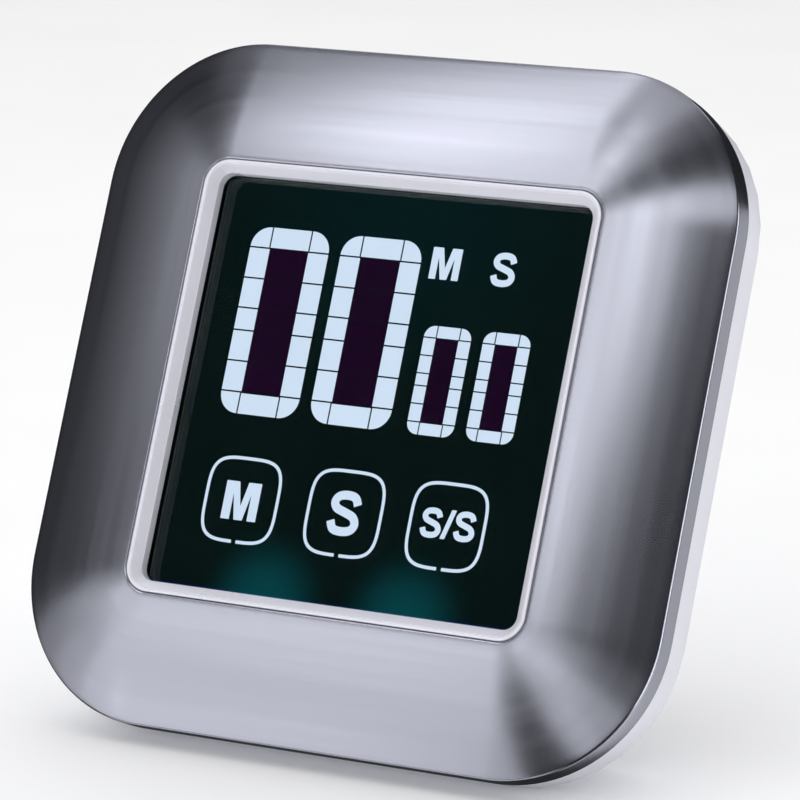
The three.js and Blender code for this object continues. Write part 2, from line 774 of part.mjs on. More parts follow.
/** A conical contact spring along +X, from a wide foot to a narrow end. */
function contactSpring() {
  const turns = 3;
  const wire = 0.35;
  const length = 2 * cellEnd - cellLength - gap - 2 * wire;
  class Cone extends THREE.Curve {
    getPoint(t, target = new THREE.Vector3()) {
      const angle = 2 * Math.PI * turns * t;
      const radius = 3.4 - 1.2 * t;
      return target.set(wire + length * t, radius * Math.cos(angle), radius * Math.sin(angle));
    }
  }
  const section = new THREE.Shape();
  section.absarc(0, 0, wire, 0, 2 * Math.PI);
  const sweep = { steps: 10 * turns, curveSegments: 2, extrudePath: new Cone() };
  return new THREE.ExtrudeGeometry(section, sweep);
}

/** An insulated wire through the points given. */
function wireThrough(points, radius = 0.5) {
  const path = new THREE.CatmullRomCurve3(points.map((p) => new THREE.Vector3(...p)));
  const section = new THREE.Shape();
  section.absarc(0, 0, radius, 0, 2 * Math.PI);
  return new THREE.ExtrudeGeometry(section, { steps: 9, curveSegments: 3, extrudePath: path });
}

/** A pan-head screw pointing along -Y, its head's seat at the origin, with a cross recess. */
function screw(headRadius, headHeight, shankRadius, length) {
  const profile = [
    [0, -length],
    [shankRadius * 0.4, -length],
    [shankRadius, -length + shankRadius * 1.4],
    [shankRadius, 0],
    [headRadius, 0],
    [headRadius * 0.9, headHeight * 0.7],
    [headRadius * 0.5, headHeight],
    [0, headHeight],
  ];
  const turned = new THREE.LatheGeometry(
    profile.map(([r, y]) => new THREE.Vector2(r, y)),
    12,
  );
  const arm = headRadius * 0.55;
  const half = headRadius * 0.13;
  const depth = headHeight * 0.5;
  const slots = [
    block([-arm, depth, -half], [arm, headHeight + 1, half]),
    block([-half, depth, -arm], [half, headHeight + 1, arm]),
  ];
  return geometryOf(cut(solid(turned), slots));
}

// ---------------------------------------------------------------- assembly

const body = new THREE.Group();
body.rotation.x = -lean;

function add(name, geometry, material, position = [0, 0, 0], parent = body) {
  const mesh = new THREE.Mesh(geometry, material);
  mesh.name = name;
  mesh.position.set(...position);
  parent.add(mesh);
  return mesh;
}

add("front_bezel", frontBezel(), brushedSteel);
add("screen_trim", screenTrim(), polishedSteel);
add("glass_gasket", glassGasket(), foam);
add("carrier_frame", carrier(), blackAbs);

add("touch_glass", screenLayer(layers.touch_glass), darkGlass);
add("touch_film", screenLayer(layers.touch_film), clearFilm);
add("front_polariser", screenLayer(layers.front_polariser), polariserFilm);
add("lcd_cell", screenLayer(layers.lcd_cell), darkGlass);
add("rear_polariser", screenLayer(layers.rear_polariser, guideTop), polariserFilm);
add("diffuser_film", screenLayer(layers.diffuser_film, guideTop), whiteFilm);
add("light_guide", lightGuide(), acrylic);
add("reflector_film", screenLayer(layers.reflector_film, guideTop), whiteFilm);
const ledPlace = [
  (layers.light_guide.front + layers.light_guide.back) / 2,
  -(glassHalf - layers.light_guide.inset) + ledSize[2] / 2 + gap,
];
add("backlight_led_left", backlightLed(), whiteFilm, [-ledX, ...ledPlace]);
add("backlight_led_right", backlightLed(), whiteFilm, [ledX, ...ledPlace]);
const zebraY = (layers.lcd_cell.back + boardY) / 2;
add("zebra_strip", zebraStrip(), silicone, [0, zebraY, guideTop + gap + zebraWidth / 2]);

add("main_board", mainBoard(), circuitGreen);
const onBoard = boardBack + layerGap;
add("controller_blob", controllerBlob(), epoxy, [-17, onBoard, -16]);
add("touch_chip", touchChip(), epoxy, [18, onBoard, -22]);
add("crystal_can", crystalCan(), nickel, [18, onBoard, -5]);
add("boost_inductor", boostInductor(), foam, [-17, onBoard, -4]);
add("reservoir_capacitor", capacitor(), epoxy, [19, onBoard, -13]);

add("rear_cover", rearCover(), silverAbs);
add("magnet_left", geometryOf(post(magnetRadius, 0, magnetThickness, 0, 0, 32)), ferrite, [
  -magnetCentre[0],
  backY - magnetThickness,
  magnetCentre[1],
]);
add("magnet_right", geometryOf(post(magnetRadius, 0, magnetThickness, 0, 0, 32)), ferrite, [
  magnetCentre[0],
  backY - magnetThickness,
  magnetCentre[1],
]);

const discY = discSeatY - gap;
const ceramicY = discY - discThickness - layerGap;
add("piezo_disc", geometryOf(post(piezoRadius, -discThickness, 0, 0, 0, 32)), brass, [0, discY, piezoZ]);
add("piezo_ceramic", geometryOf(post(0.7 * piezoRadius, -0.25, 0, 0, 0, 28)), piezoCeramic, [
  0,
  ceramicY,
  piezoZ,
]);

add("battery_door", batteryDoor(), silverAbs);
const upper = add("battery_upper", cell(), cellSleeve, [cellEnd - cellLength, cellY, cellZ[1]]);
upper.rotation.z = -Math.PI / 2;
const lower = add("battery_lower", cell(), cellSleeve, [cellLength - cellEnd, cellY, cellZ[0]]);
lower.rotation.z = Math.PI / 2;
const plateX = bayHalfX - contactSheet / 2 - gap;
add("contact_negative", contactPlate(8), nickel, [-plateX, cellY, cellZ[1]]);
add("contact_positive", contactPlate(8), nickel, [-plateX, cellY, cellZ[0]]);
add("contact_bridge", contactPlate(8 + cellPitch), nickel, [plateX, cellY, bayCentreZ]);
add("contact_spring_upper", contactSpring(), nickel, [-cellEnd, cellY, cellZ[1]]);
const lowerSpring = add("contact_spring_lower", contactSpring(), nickel, [cellEnd, cellY, cellZ[0]]);
lowerSpring.rotation.z = Math.PI;

const wireX = -bayHalfX - bayWall;
const wireRoute = (z, landing) => [
  [-bayHalfX + 0.05, cellY, z],
  [wireX - 0.4, cellY, z],
  [wireX - 2.4, cellY - 2.6, z - 0.5],
  [wireX - 2.4, boardBack + 0.9, landing],
];
add("battery_wire_red", wireThrough(wireRoute(cellZ[0], cellZ[0] - 4)), redWire);
add("battery_wire_black", wireThrough(wireRoute(cellZ[1], cellZ[1] - 3)), blackWire);
const piezoWire = (side) => [
  [side * 8.4, discY - 0.9, piezoZ],
  [side * 9.4, discY - 2, piezoZ - 1],
  [side * 9.6, boardBack + 2.4, piezoZ - 3],
  [side * 8.6, boardBack + 0.7, piezoZ - 6],
];
add("piezo_wire_red", wireThrough(piezoWire(-1), 0.4), redWire);
add("piezo_wire_black", wireThrough(piezoWire(1), 0.4), blackWire);

const switchHeight = 3.4;
const switchCan = block([-4.4, 0, -1.8], [4.4, switchHeight, 1.8]);
const switchBody = switchCan.subtract(block([-2.6, switchHeight - 1, -0.8], [2.6, switchHeight + 1, 0.8]));
add("switch_body", geometryOf(switchBody), nickel, [0, onBoard, switchZ]);
const knob = new THREE.Group();
knob.position.set(switchTravel / 2, backY, switchZ);
body.add(knob);
const stemLength = backY - onBoard - switchHeight + 0.5;
const knobSolid = join([
  block([-1.9, -rearWall - 0.6, -0.95], [1.9, 0.25, 0.95]),
  block([-3.1, -rearWall - 1.6, -1.7], [3.1, -rearWall - 0.4, 1.7]),
  block([-0.9, -stemLength, -0.6], [0.9, -rearWall - 1, 0.6]),
]);
const knobRidges = [-1, 0, 1].map((i) => block([i * 1.1 - 0.2, 0.05, -2], [i * 1.1 + 0.2, 1, 2]));
add("power_switch_knob", geometryOf(cut(knobSolid, knobRidges)), blackAbs, [0, 0, 0], knob);

const legGroup = new THREE.Group();
legGroup.position.set(0, hingeY, hingeZ);
legGroup.rotation.x = legOpen;
body.add(legGroup);
add("stand_leg", standLeg(), silverAbs, [0, 0, 0], legGroup);
const pinLength = 6;
const pinAt = recessHalf + 3 - pinLength / 2;
for (const [side, name] of [
  [-1, "stand_pin_left"],
  [1, "stand_pin_right"],
]) {
  const pin = bar(pinRadius, -pinLength / 2, pinLength / 2, 0, 0);
  add(name, geometryOf(pin), nickel, [side * pinAt, hingeY, hingeZ]);
}

const caseScrew = screw(caseScrewHead, 1.6, caseScrewShank, caseScrewLength);
corners(bossAt, bossAt).forEach(([x, z], i) => {
  add(`case_screw_${i + 1}`, caseScrew, nickel, [x, bayFloorY + headSeat + gap, z]);
});
const boardScrew = screw(boardScrewHead, 1.2, boardScrewShank, boardScrewLength);
corners(...pillarAt).forEach(([x, z], i) => {
  add(`board_screw_${i + 1}`, boardScrew, nickel, [x, boardBack + gap, z]);
});

const timer = new THREE.Group();
timer.add(body);
const box = new THREE.Box3().setFromObject(timer, true);
timer.position.set(0, -(box.min.y + box.max.y) / 2, -box.min.z);

export default timer;
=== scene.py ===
"""A square touch-screen countdown timer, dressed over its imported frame.

Sizes are in millimetres in the case's own frame: x to the right of someone reading the screen, depth from the
screen towards the back, and up the face. Blender's metres come in only where a mesh is handed over.
"""

from __future__ import annotations

import json
import logging
import math
from collections.abc import Sequence
from dataclasses import dataclass, field
from enum import Enum
from typing import ClassVar

import bmesh
import bpy
from mathutils import Matrix, Vector


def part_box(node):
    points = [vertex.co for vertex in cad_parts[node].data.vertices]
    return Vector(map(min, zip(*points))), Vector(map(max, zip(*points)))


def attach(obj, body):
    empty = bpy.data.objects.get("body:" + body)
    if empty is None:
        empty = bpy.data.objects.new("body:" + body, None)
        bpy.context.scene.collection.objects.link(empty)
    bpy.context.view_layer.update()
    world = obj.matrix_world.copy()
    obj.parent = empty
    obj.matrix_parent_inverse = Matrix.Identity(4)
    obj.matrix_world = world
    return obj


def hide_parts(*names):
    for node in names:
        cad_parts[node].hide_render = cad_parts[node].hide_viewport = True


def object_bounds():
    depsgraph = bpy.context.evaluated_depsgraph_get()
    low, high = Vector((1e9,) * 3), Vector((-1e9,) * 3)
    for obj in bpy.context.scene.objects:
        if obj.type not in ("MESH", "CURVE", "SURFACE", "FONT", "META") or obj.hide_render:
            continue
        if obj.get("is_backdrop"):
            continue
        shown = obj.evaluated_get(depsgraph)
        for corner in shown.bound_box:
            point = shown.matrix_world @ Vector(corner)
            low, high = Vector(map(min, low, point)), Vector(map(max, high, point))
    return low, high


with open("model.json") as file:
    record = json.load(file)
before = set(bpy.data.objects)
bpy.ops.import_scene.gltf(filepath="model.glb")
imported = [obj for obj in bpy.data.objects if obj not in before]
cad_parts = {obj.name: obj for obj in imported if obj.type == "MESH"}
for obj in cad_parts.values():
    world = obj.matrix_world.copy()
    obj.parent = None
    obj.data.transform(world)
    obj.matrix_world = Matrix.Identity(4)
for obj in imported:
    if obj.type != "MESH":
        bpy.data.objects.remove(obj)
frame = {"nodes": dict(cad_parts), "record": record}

MM = 0.001
FRONT_CREST_DEPTH = -4.05  # how far the front's highest ridge stands before the case's front edge

Point = tuple[float, float]
Tree = bpy.types.NodeTree
Socket = bpy.types.NodeSocket
Settings = dict[str | int, object]
Places = tuple[tuple[float, ...], ...]  # left, right, foot and top of each letter, and the width of its line
log = logging.getLogger("timer")


# ---------------------------------------------------------------- nodes and colours


def linear(hex_colour: str) -> tuple[float, float, float, float]:
    """Turns an sRGB colour into Blender's linear one.

    Args:
        hex_colour: six hex digits after a hash.

    Returns:
        Linear red, green and blue, and an alpha of 1.
    """
    parts = [int(hex_colour[i : i + 2], 16) / 255 for i in (1, 3, 5)]
    red, green, blue = (p / 12.92 if p <= 0.04045 else ((p + 0.055) / 1.055) ** 2.4 for p in parts)
    return red, green, blue, 1.0


def add_node(
    tree: Tree,
    kind: str,
    settings: Settings | None = None,
    links: dict[str | int, Socket] | None = None,
) -> bpy.types.Node:
    """Adds one node with its settings and links.

    Args:
        tree: where the node goes.
        kind: Blender's name for the kind of node.
        settings: the node's properties, and the values of its inputs by name or number.
        links: what feeds the node's inputs, by name or number.

    Returns:
        The new node.
    """
    node = tree.nodes.new(kind)
    for name, value in (settings or {}).items():
        if isinstance(name, str) and hasattr(node, name):
            setattr(node, name, value)
        else:
            node.inputs[name].default_value = value
    for name, source in (links or {}).items():
        tree.links.new(source, node.inputs[name])
    return node


# ---------------------------------------------------------------- the case's frame


class CaseFrame:
    """The leaning case's own axes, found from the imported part."""

    def __init__(self) -> None:
        """Reads the lean from a magnet's face, and the origin from the front."""
        face = frame["record"]["mounts"][0]
        self.right = Vector((1, 0, 0))
        self.back = Vector(face["axis"]).normalized()
        self.up = self.back.cross(self.right) * -1
        low, high = self.span("front_bezel")
        self.origin = self.right * (low.x + high.x) / 2 + self.up * (low.z + high.z) / 2
        self.origin += self.back * (self.span("screen_trim")[0].y - FRONT_CREST_DEPTH * MM)

    def span(self, node: str) -> tuple[Vector, Vector]:
        """Measures a CAD node along the case's axes.

        Args:
            node: the name of the CAD node.

        Returns:
            Its lowest and highest right, back and up, in metres from the world's origin.
        """
        points = [v.co for v in frame["nodes"][node].data.vertices]
        axes = (self.right, self.back, self.up)
        low = Vector(min(p.dot(axis) for p in points) for axis in axes)
        high = Vector(max(p.dot(axis) for p in points) for axis in axes)
        return low, high

    def at(self, x: float, depth: float, up: float) -> Vector:
        """Gives a point of the case in the world, from millimetres to metres."""
        return self.origin + (self.right * x + self.back * depth + self.up * up) * MM

    def direction(self, azimuth: float, elevation: float) -> Vector:
        """Gives the way out of the screen, leaning from straight ahead.

        Args:
            azimuth: degrees to the right.
            elevation: degrees up.

        Returns:
            A direction in the world, of length 1.
        """
        turn, rise = math.radians(azimuth), math.radians(elevation)
        ahead = self.right * math.sin(turn) - self.back * math.cos(turn)
        return ahead * math.cos(rise) + self.up * math.sin(rise)


CASE = CaseFrame()


# ---------------------------------------------------------------- finishes


for packed in bpy.data.materials:
    packed.name = f"packed_{packed.name}"


@dataclass(frozen=True)
class Finish:
    """A plain solid finish: a moulded, painted or cast surface with its own fine grain."""

    name: str
    colour: str
    roughness: float
    metallic: float = 0.0
    ior: float = 1.5
    grain: float = 0.6  # size of the surface's grain
    relief: float = 0.004  # height of the grain
    mottle: float = 0.06  # how much the colour wanders
    wander: float = 0.06  # how much the roughness wanders
    coat: float = 0.0
    coat_roughness: float = 0.1
    gloss: float = 0.5  # how strongly it mirrors, 0 where it is bonded to the layer before it
    stretch: tuple[float, float, float] = (1.0, 1.0, 1.0)  # of the grain, along right, back and up

    def material(self) -> bpy.types.Material:
        """Builds the finish once and then hands out the same one.

        Returns:
            The material.
        """
        ready = MADE.get(self)
        if ready:
            return ready
        made = MADE[self] = bpy.data.materials.new(self.name)
        made.use_nodes = True
        made.node_tree.nodes.clear()
        made.diffuse_color = linear(self.colour)
        surface = self.surface(made.node_tree)
        add_node(made.node_tree, "ShaderNodeOutputMaterial", links={"Surface": surface})
        return made

    def places(self, tree: Tree) -> Socket:
        """Gives the coordinates that the grain follows, along the case's axes and stretched.

        Args:
            tree: where the nodes go.

        Returns:
            The coordinates.
        """
        own = add_node(tree, "ShaderNodeTexCoord").outputs["Object"]
        turned = (CASE.back.angle(Vector((0, 1, 0))), 0, 0)
        settings = {"Rotation": turned, "Scale": tuple(1 / s for s in self.stretch)}
        return add_node(tree, "ShaderNodeMapping", settings, {0: own}).outputs[0]

    def grain_noise(self, tree: Tree, size: float, detail: float = 3.0) -> Socket:
        """Adds a grain of a real size.

        Args:
            tree: where the nodes go.
            size: the grain's size in millimetres.
            detail: how many finer octaves it holds.

        Returns:
            The grain's height, from 0 to 1.
        """
        settings = {"Scale": 1 / (size * MM), "Detail": detail, "Roughness": 0.55}
        return add_node(tree, "ShaderNodeTexNoise", settings, {"Vector": self.places(tree)}).outputs[0]

    def wandering(
        self, tree: Tree, factor: Socket, middle: float, spread: float
    ) -> Socket:
        """Spreads a value either side of its middle as the factor goes from 0.3 to 0.7."""
        settings = {"From Min": 0.3, "From Max": 0.7, "To Min": middle - spread, "To Max": middle + spread}
        return add_node(tree, "ShaderNodeMapRange", settings, {"Value": factor}).outputs[0]

    def tinted(self, tree: Tree, factor: Socket) -> Socket:
        """Lets the colour wander a little darker and lighter.

        Args:
            tree: where the nodes go.
            factor: what it follows, from 0 to 1.

        Returns:
            The colour.
        """
        dark, light = (
            (*(min(part * share, 1) for part in linear(self.colour)[:3]), 1)
            for share in (1 - self.mottle, 1 + self.mottle)
        )
        settings = {"data_type": "RGBA", 6: dark, 7: light}
        return add_node(tree, "ShaderNodeMix", settings, {0: factor}).outputs[2]

    def base(self) -> Settings:
        """Gives the values that are the same all over the surface."""
        return {
            "Base Color": linear(self.colour),
            "Roughness": self.roughness,
            "Metallic": self.metallic,
            "IOR": self.ior,
            "Specular IOR Level": self.gloss,
            "Coat Weight": self.coat,
            "Coat Roughness": self.coat_roughness,
        }

    def surface(self, tree: Tree) -> Socket:
        """Builds the shader: slow mottling in colour and roughness, and the grain as relief.

        Args:
            tree: where the nodes go.

        Returns:
            The shader.
        """
        slow = self.grain_noise(tree, self.grain * 12, 2.0)
        fine = self.grain_noise(tree, self.grain)
        bump = add_node(tree, "ShaderNodeBump", {"Distance": self.relief * MM}, {"Height": fine})
        links = {
            "Base Color": self.tinted(tree, slow),
            "Roughness": self.wandering(tree, slow, self.roughness, self.wander),
            "Normal": bump.outputs[0],
        }
        return add_node(tree, "ShaderNodeBsdfPrincipled", self.base(), links).outputs[0]


@dataclass(frozen=True)
class BrushedSteel(Finish):
    """Stainless steel sheet, brushed round the window, so that it spreads reflections across the slope."""

    streak: float = 0.16  # width of a brush line, drawn coarser than the real 0.03 mm so that it shows
    streak_length: float = 14.0
    band: float = 1.44  # width of the slower changes in how evenly it is brushed
    pull: float = 0.65  # how strongly the brushing pulls a reflection out

    def surface(self, tree: Tree) -> Socket:
        """Builds the shader: streaks along the brushing, in its colour and its roughness.

        Args:
            tree: where the nodes go.

        Returns:
            The shader.
        """
        brush = add_node(tree, "ShaderNodeAttribute", {"attribute_name": "brush"}).outputs["Vector"]
        squeeze = (1.0, self.streak / self.streak_length, self.streak / self.streak_length)
        lines = add_node(tree, "ShaderNodeMapping", {"Scale": squeeze}, {0: brush}).outputs[0]
        fine = {"Scale": 1 / (self.streak * MM), "Detail": 2.0, "Roughness": 0.6}
        streaks = add_node(tree, "ShaderNodeTexNoise", fine, {"Vector": lines}).outputs[0]
        broad = {"Scale": 1 / (self.band * MM), "Detail": 2.0, "Roughness": 0.5}
        bands = add_node(tree, "ShaderNodeTexNoise", broad, {"Vector": lines}).outputs[0]
        along = add_node(tree, "ShaderNodeTangent", {"direction_type": "UV_MAP", "uv_map": "brushing"})
        links = {
            "Base Color": self.tinted(tree, streaks),
            "Roughness": self.wandering(tree, bands, self.roughness, self.wander),
            "Tangent": along.outputs[0],
        }
        values = self.base() | {"Anisotropic": self.pull}
        return add_node(tree, "ShaderNodeBsdfPrincipled", values, links).outputs[0]


@dataclass(frozen=True)
class ClearGlass(Finish):
    """Float glass with polished faces: it bends and mirrors light and hardly colours it."""

    def surface(self, tree: Tree) -> Socket:
        """Builds the shader, with the faintest smear in its gloss.

        Args:
            tree: where the nodes go.

        Returns:
            The shader.
        """
        smear = self.wandering(tree, self.grain_noise(tree, self.grain, 2.0), self.roughness, self.wander)
        values = self.base() | {"Transmission Weight": 1.0}
        return add_node(tree, "ShaderNodeBsdfPrincipled", values, {"Roughness": smear}).outputs[0]


@dataclass(frozen=True)
class ClearFilm(Finish):
    """Thin clear film: almost nothing but a faint gloss."""

    haze: float = 0.05

    def surface(self, tree: Tree) -> Socket:
        """Builds the shader, mostly open, with a slight change of haze.

        Args:
            tree: where the nodes go.

        Returns:
            The shader.
        """
        slow = self.grain_noise(tree, self.grain, 2.0)
        haze = self.wandering(tree, slow, self.haze, self.haze / 3)
        return add_node(tree, "ShaderNodeBsdfPrincipled", self.base(), {"Alpha": haze}).outputs[0]


@dataclass(frozen=True)
class LitMark(Finish):
    """A lit mark of the display: it gives off its own even light, a little cooler here and there."""

    glow: float = 1.0
    unlit: str = "#040404"  # the mark's own colour without its light

    def surface(self, tree: Tree) -> Socket:
        """Builds the shader: the mark's light, and a dull surface under it.

        Args:
            tree: where the nodes go.

        Returns:
            The shader.
        """
        light = self.tinted(tree, self.grain_noise(tree, self.grain, 2.0))
        values = self.base() | {"Base Color": linear(self.unlit), "Emission Strength": self.glow}
        return add_node(tree, "ShaderNodeBsdfPrincipled", values, {"Emission Color": light}).outputs[0]


@dataclass(frozen=True)
class LitScreen(Finish):
    """Dark crossed polarisers: the backlight's green leaks through, strongest over its two lamps."""

    leak: str = "#000f0d"
    crown: str = "#001719"
    lamp: str = "#003c42"
    edge: str = "#0b0b52"
    crown_up: float = 27.0
    crown_reach: float = 34.0
    lamp_up: float = -27.2
    lamp_reach: float = 10.5
    edge_fades: Point = (-26.6, -26.2)  # between these heights the blue line at the foot fades
    lamps: tuple[str, str] = ("backlight_led_left", "backlight_led_right")

    def surface(self, tree: Tree) -> Socket:
        """Builds the shader: the even leak, a bluer crown, a fan over each lamp and a blue line at the foot.

        Args:
            tree: where the nodes go.

        Returns:
            The shader.
        """
        own = add_node(tree, "ShaderNodeTexCoord").outputs["Object"]
        leak = self.near(tree, own, CASE.at(0, 0, self.crown_up), self.crown_reach, self.leak, self.crown)
        fans = []
        for lamp in self.lamps:
            low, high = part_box(lamp)
            foot = CASE.at(((low.x + high.x) / 2 - CASE.origin.x) / MM, 0.3, self.lamp_up)
            fans.append(self.near(tree, own, foot, self.lamp_reach, "#000000", self.lamp))
        settings = {"operation": "DOT_PRODUCT", 1: tuple(CASE.up)}
        height = add_node(tree, "ShaderNodeVectorMath", settings, {0: own}).outputs["Value"]
        start, stop = (CASE.at(0, 0, up).dot(CASE.up) for up in self.edge_fades)
        settings = {"From Min": start, "From Max": stop, "To Min": 1.0, "To Max": 0.0}
        line = add_node(tree, "ShaderNodeMapRange", settings, {"Value": height}).outputs[0]
        settings = {"data_type": "RGBA", 6: (0, 0, 0, 1), 7: linear(self.edge)}
        blue = add_node(tree, "ShaderNodeMix", settings, {0: line}).outputs[2]
        settings = {"data_type": "RGBA", "blend_type": "ADD", 0: 1.0}
        for light in (*fans, blue):
            leak = add_node(tree, "ShaderNodeMix", settings, {6: leak, 7: light}).outputs[2]
        values = self.base() | {"Emission Strength": 1.0}
        return add_node(tree, "ShaderNodeBsdfPrincipled", values, {"Emission Color": leak}).outputs[0]

    def near(
        self, tree: Tree, own: Socket, place: Vector, reach: float, far: str, close: str
    ) -> Socket:
        """Fades from one colour to another with the distance from a place.

        Args:
            tree: where the nodes go.
            own: the coordinates of the surface.
            place: the middle of the close colour.
            reach: where the far colour is all that is left, in millimetres.
            far: the colour from there on.
            close: the colour at the place.

        Returns:
            The colour.
        """
        apart = add_node(tree, "ShaderNodeVectorMath", {"operation": "DISTANCE", 1: tuple(place)}, {0: own})
        settings = {"interpolation_type": "SMOOTHERSTEP", "From Max": reach * MM}
        settings |= {"To Min": 1.0, "To Max": 0.0}
        share = add_node(tree, "ShaderNodeMapRange", settings, {"Value": apart.outputs["Value"]}).outputs[0]
        colours = {"data_type": "RGBA", 6: linear(far), 7: linear(close)}
        return add_node(tree, "ShaderNodeMix", colours, {0: share}).outputs[2]


@dataclass(frozen=True)
class PrintedBoard(Finish):
    """Glass-fibre board under green lacquer, with copper tracks showing as lighter, raised lines."""

    track: str = "#2f8f5b"
    pitch: float = 2.2  # spacing of the tracks

    def surface(self, tree: Tree) -> Socket:
        """Builds the shader: track edges from a cell pattern, with the lacquer over them.

        Args:
            tree: where the nodes go.

        Returns:
            The shader.
        """
        cells = {"feature": "DISTANCE_TO_EDGE", "Scale": 1 / (self.pitch * MM)}
        own = self.places(tree)
        edges = add_node(tree, "ShaderNodeTexVoronoi", cells, {"Vector": own}).outputs["Distance"]
        settings = {"From Min": 0.06, "From Max": 0.1, "To Min": 1.0, "To Max": 0.0}
        tracks = add_node(tree, "ShaderNodeMapRange", settings, {"Value": edges}).outputs[0]
        colours = {"data_type": "RGBA", 6: linear(self.colour), 7: linear(self.track)}
        green = add_node(tree, "ShaderNodeMix", colours, {0: tracks}).outputs[2]
        bump = add_node(tree, "ShaderNodeBump", {"Distance": self.relief * MM}, {"Height": tracks})
        links = {"Base Color": green, "Normal": bump.outputs[0]}
        return add_node(tree, "ShaderNodeBsdfPrincipled", self.base(), links).outputs[0]


@dataclass(frozen=True)
class CellSleeve(Finish):
    """The shrunk printed sleeve of a dry cell: a dark body, with a coppery band at its positive end."""

    band: str = "#b9762c"
    node: str = "battery_upper"
    positive: float = 1.0  # which way along x the positive end lies
    band_length: float = 13.0

    def surface(self, tree: Tree) -> Socket:
        """Builds the shader, with the band laid from the positive end.

        Args:
            tree: where the nodes go.

        Returns:
            The shader.
        """
        own = add_node(tree, "ShaderNodeTexCoord").outputs["Object"]
        along = add_node(tree, "ShaderNodeSeparateXYZ", links={0: own}).outputs["X"]
        low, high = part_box(self.node)
        end = high.x if self.positive > 0 else low.x
        edge = end - self.positive * self.band_length * MM
        blur = 0.1 * MM
        start, stop = (0.0, 1.0) if self.positive > 0 else (1.0, 0.0)
        settings = {"From Min": edge - blur, "From Max": edge + blur, "To Min": start, "To Max": stop}
        share = add_node(tree, "ShaderNodeMapRange", settings, {"Value": along}).outputs[0]
        colours = {"data_type": "RGBA", 6: linear(self.colour), 7: linear(self.band)}
        sleeve = add_node(tree, "ShaderNodeMix", colours, {0: share}).outputs[2]
        fine = self.grain_noise(tree, self.grain)
        bump = add_node(tree, "ShaderNodeBump", {"Distance": self.relief * MM}, {"Height": fine})
        rough = self.wandering(tree, fine, self.roughness, self.wander)
        links = {"Base Color": sleeve, "Normal": bump.outputs[0], "Roughness": rough}
        return add_node(tree, "ShaderNodeBsdfPrincipled", self.base(), links).outputs[0]


MADE: dict[Finish, bpy.types.Material] = {}

# Brushed stainless steel: cool grey, satin, with reflections drawn out across the brushing.
STEEL = BrushedSteel("brushed_stainless_steel", "#c6c8d6", 0.24, 1.0, mottle=0.03, wander=0.02)
# Polished steel trim given a pale silver colour and little metal: a painted sheen that stands in for its
# reflections and stays pale whichever way its faces turn.
TRIM_PAINTED_SHEEN = Finish("silver_trim_painted_sheen", "#e9e9f3", 0.3, 0.35, relief=0.001, mottle=0.02, wander=0.03)
# Painted ABS of the rear cover: silver-white, satin, with the fine stipple of a spark-eroded mould.
SILVER_ABS = Finish(
    "silver_white_abs", "#d0d1d9", 0.42, 0.0, 1.53, grain=0.35, relief=0.006, mottle=0.02, coat=0.12
)
# Plain black ABS inside: dark and dull, as it comes from the mould.
BLACK_ABS = Finish("black_abs", "#17171a", 0.5, 0.0, 1.53, grain=0.5, relief=0.006)
# Closed-cell foam: dead black, soft, pitted.
FOAM = Finish("black_foam", "#0b0b0c", 0.9, 0.0, 1.45, grain=0.25, relief=0.03, mottle=0.2)
# Cover glass: clear and polished, with a coating that takes away most of what it would mirror.
GLASS = ClearGlass("cover_glass", "#ffffff", 0.012, 0.0, 1.52, grain=18.0, wander=0.008, gloss=0.05)
# Conductive film under the glass: next to invisible.
FILM = ClearFilm("clear_film", "#c8d2d8", 0.2, grain=12.0, haze=0.004, gloss=0.1)
# Crossed polarisers: black with the backlight's green leaking through.
POLARISER = LitScreen("dark_polariser", "#000201", 0.5, gloss=0.0)
# Thin glass of the liquid-crystal cell, seen only from the side.
CELL_GLASS = Finish("lcd_cell_glass", "#5d7a74", 0.08, 0.0, 1.52, grain=6.0, relief=0.0005)
# Diffuser and reflector films: milk white and matt.
WHITE_FILM = Finish("white_film", "#eef0f0", 0.55, grain=0.4, relief=0.001)
# Acrylic light guide: glossy, faintly green at its edges.
ACRYLIC = Finish("acrylic_light_guide", "#d9e8e2", 0.06, 0.0, 1.49, grain=4.0, relief=0.0005)
# Lamp package: white ceramic-filled plastic.
LAMP = Finish("white_lamp_package", "#f2efe2", 0.4, grain=0.3)
# Silicone strip: dull grey with a faint sheen.
SILICONE = Finish("grey_silicone", "#55585c", 0.6, 0.0, 1.41, grain=0.4, relief=0.004)
# Circuit board: glossy green lacquer over raised tracks.
BOARD = PrintedBoard("green_circuit_board", "#0f5c36", 0.32, 0.0, 1.55, relief=0.02)
# Potting resin over the controller: black and glossy.
EPOXY = Finish("black_epoxy", "#0c0c0e", 0.24, 0.0, 1.55, grain=0.8, relief=0.006)
# Nickel plate: warm grey metal of springs and contacts.
NICKEL = Finish("nickel_plate", "#bdb8ac", 0.25, 1.0, grain=0.3, relief=0.002, mottle=0.05)
# Ferrite: dark, matt, slightly rough ceramic.
FERRITE = Finish("ferrite", "#2b2b2e", 0.7, 0.0, 1.6, grain=0.2, relief=0.008, mottle=0.12)
# Capacitor sleeve: shiny dark blue shrink film.
CAPACITOR = Finish("capacitor_sleeve", "#1b2440", 0.28, grain=0.7)
# Magnet: nickel-plated disc, bright but a little scuffed.
MAGNET = Finish("plated_magnet", "#b4b4b8", 0.22, 1.0, grain=0.5, relief=0.0015, mottle=0.05, wander=0.08)
# Brass disc of the sounder: yellow, bright, lightly rolled.
BRASS = Finish("brass", "#c9a75c", 0.3, 1.0, grain=0.6, relief=0.001, mottle=0.06)
# Sounder's ceramic with its silvered face: pale and dull.
SOUNDER = Finish("silvered_ceramic", "#c8c4ba", 0.5, 0.3, grain=0.3, relief=0.002)
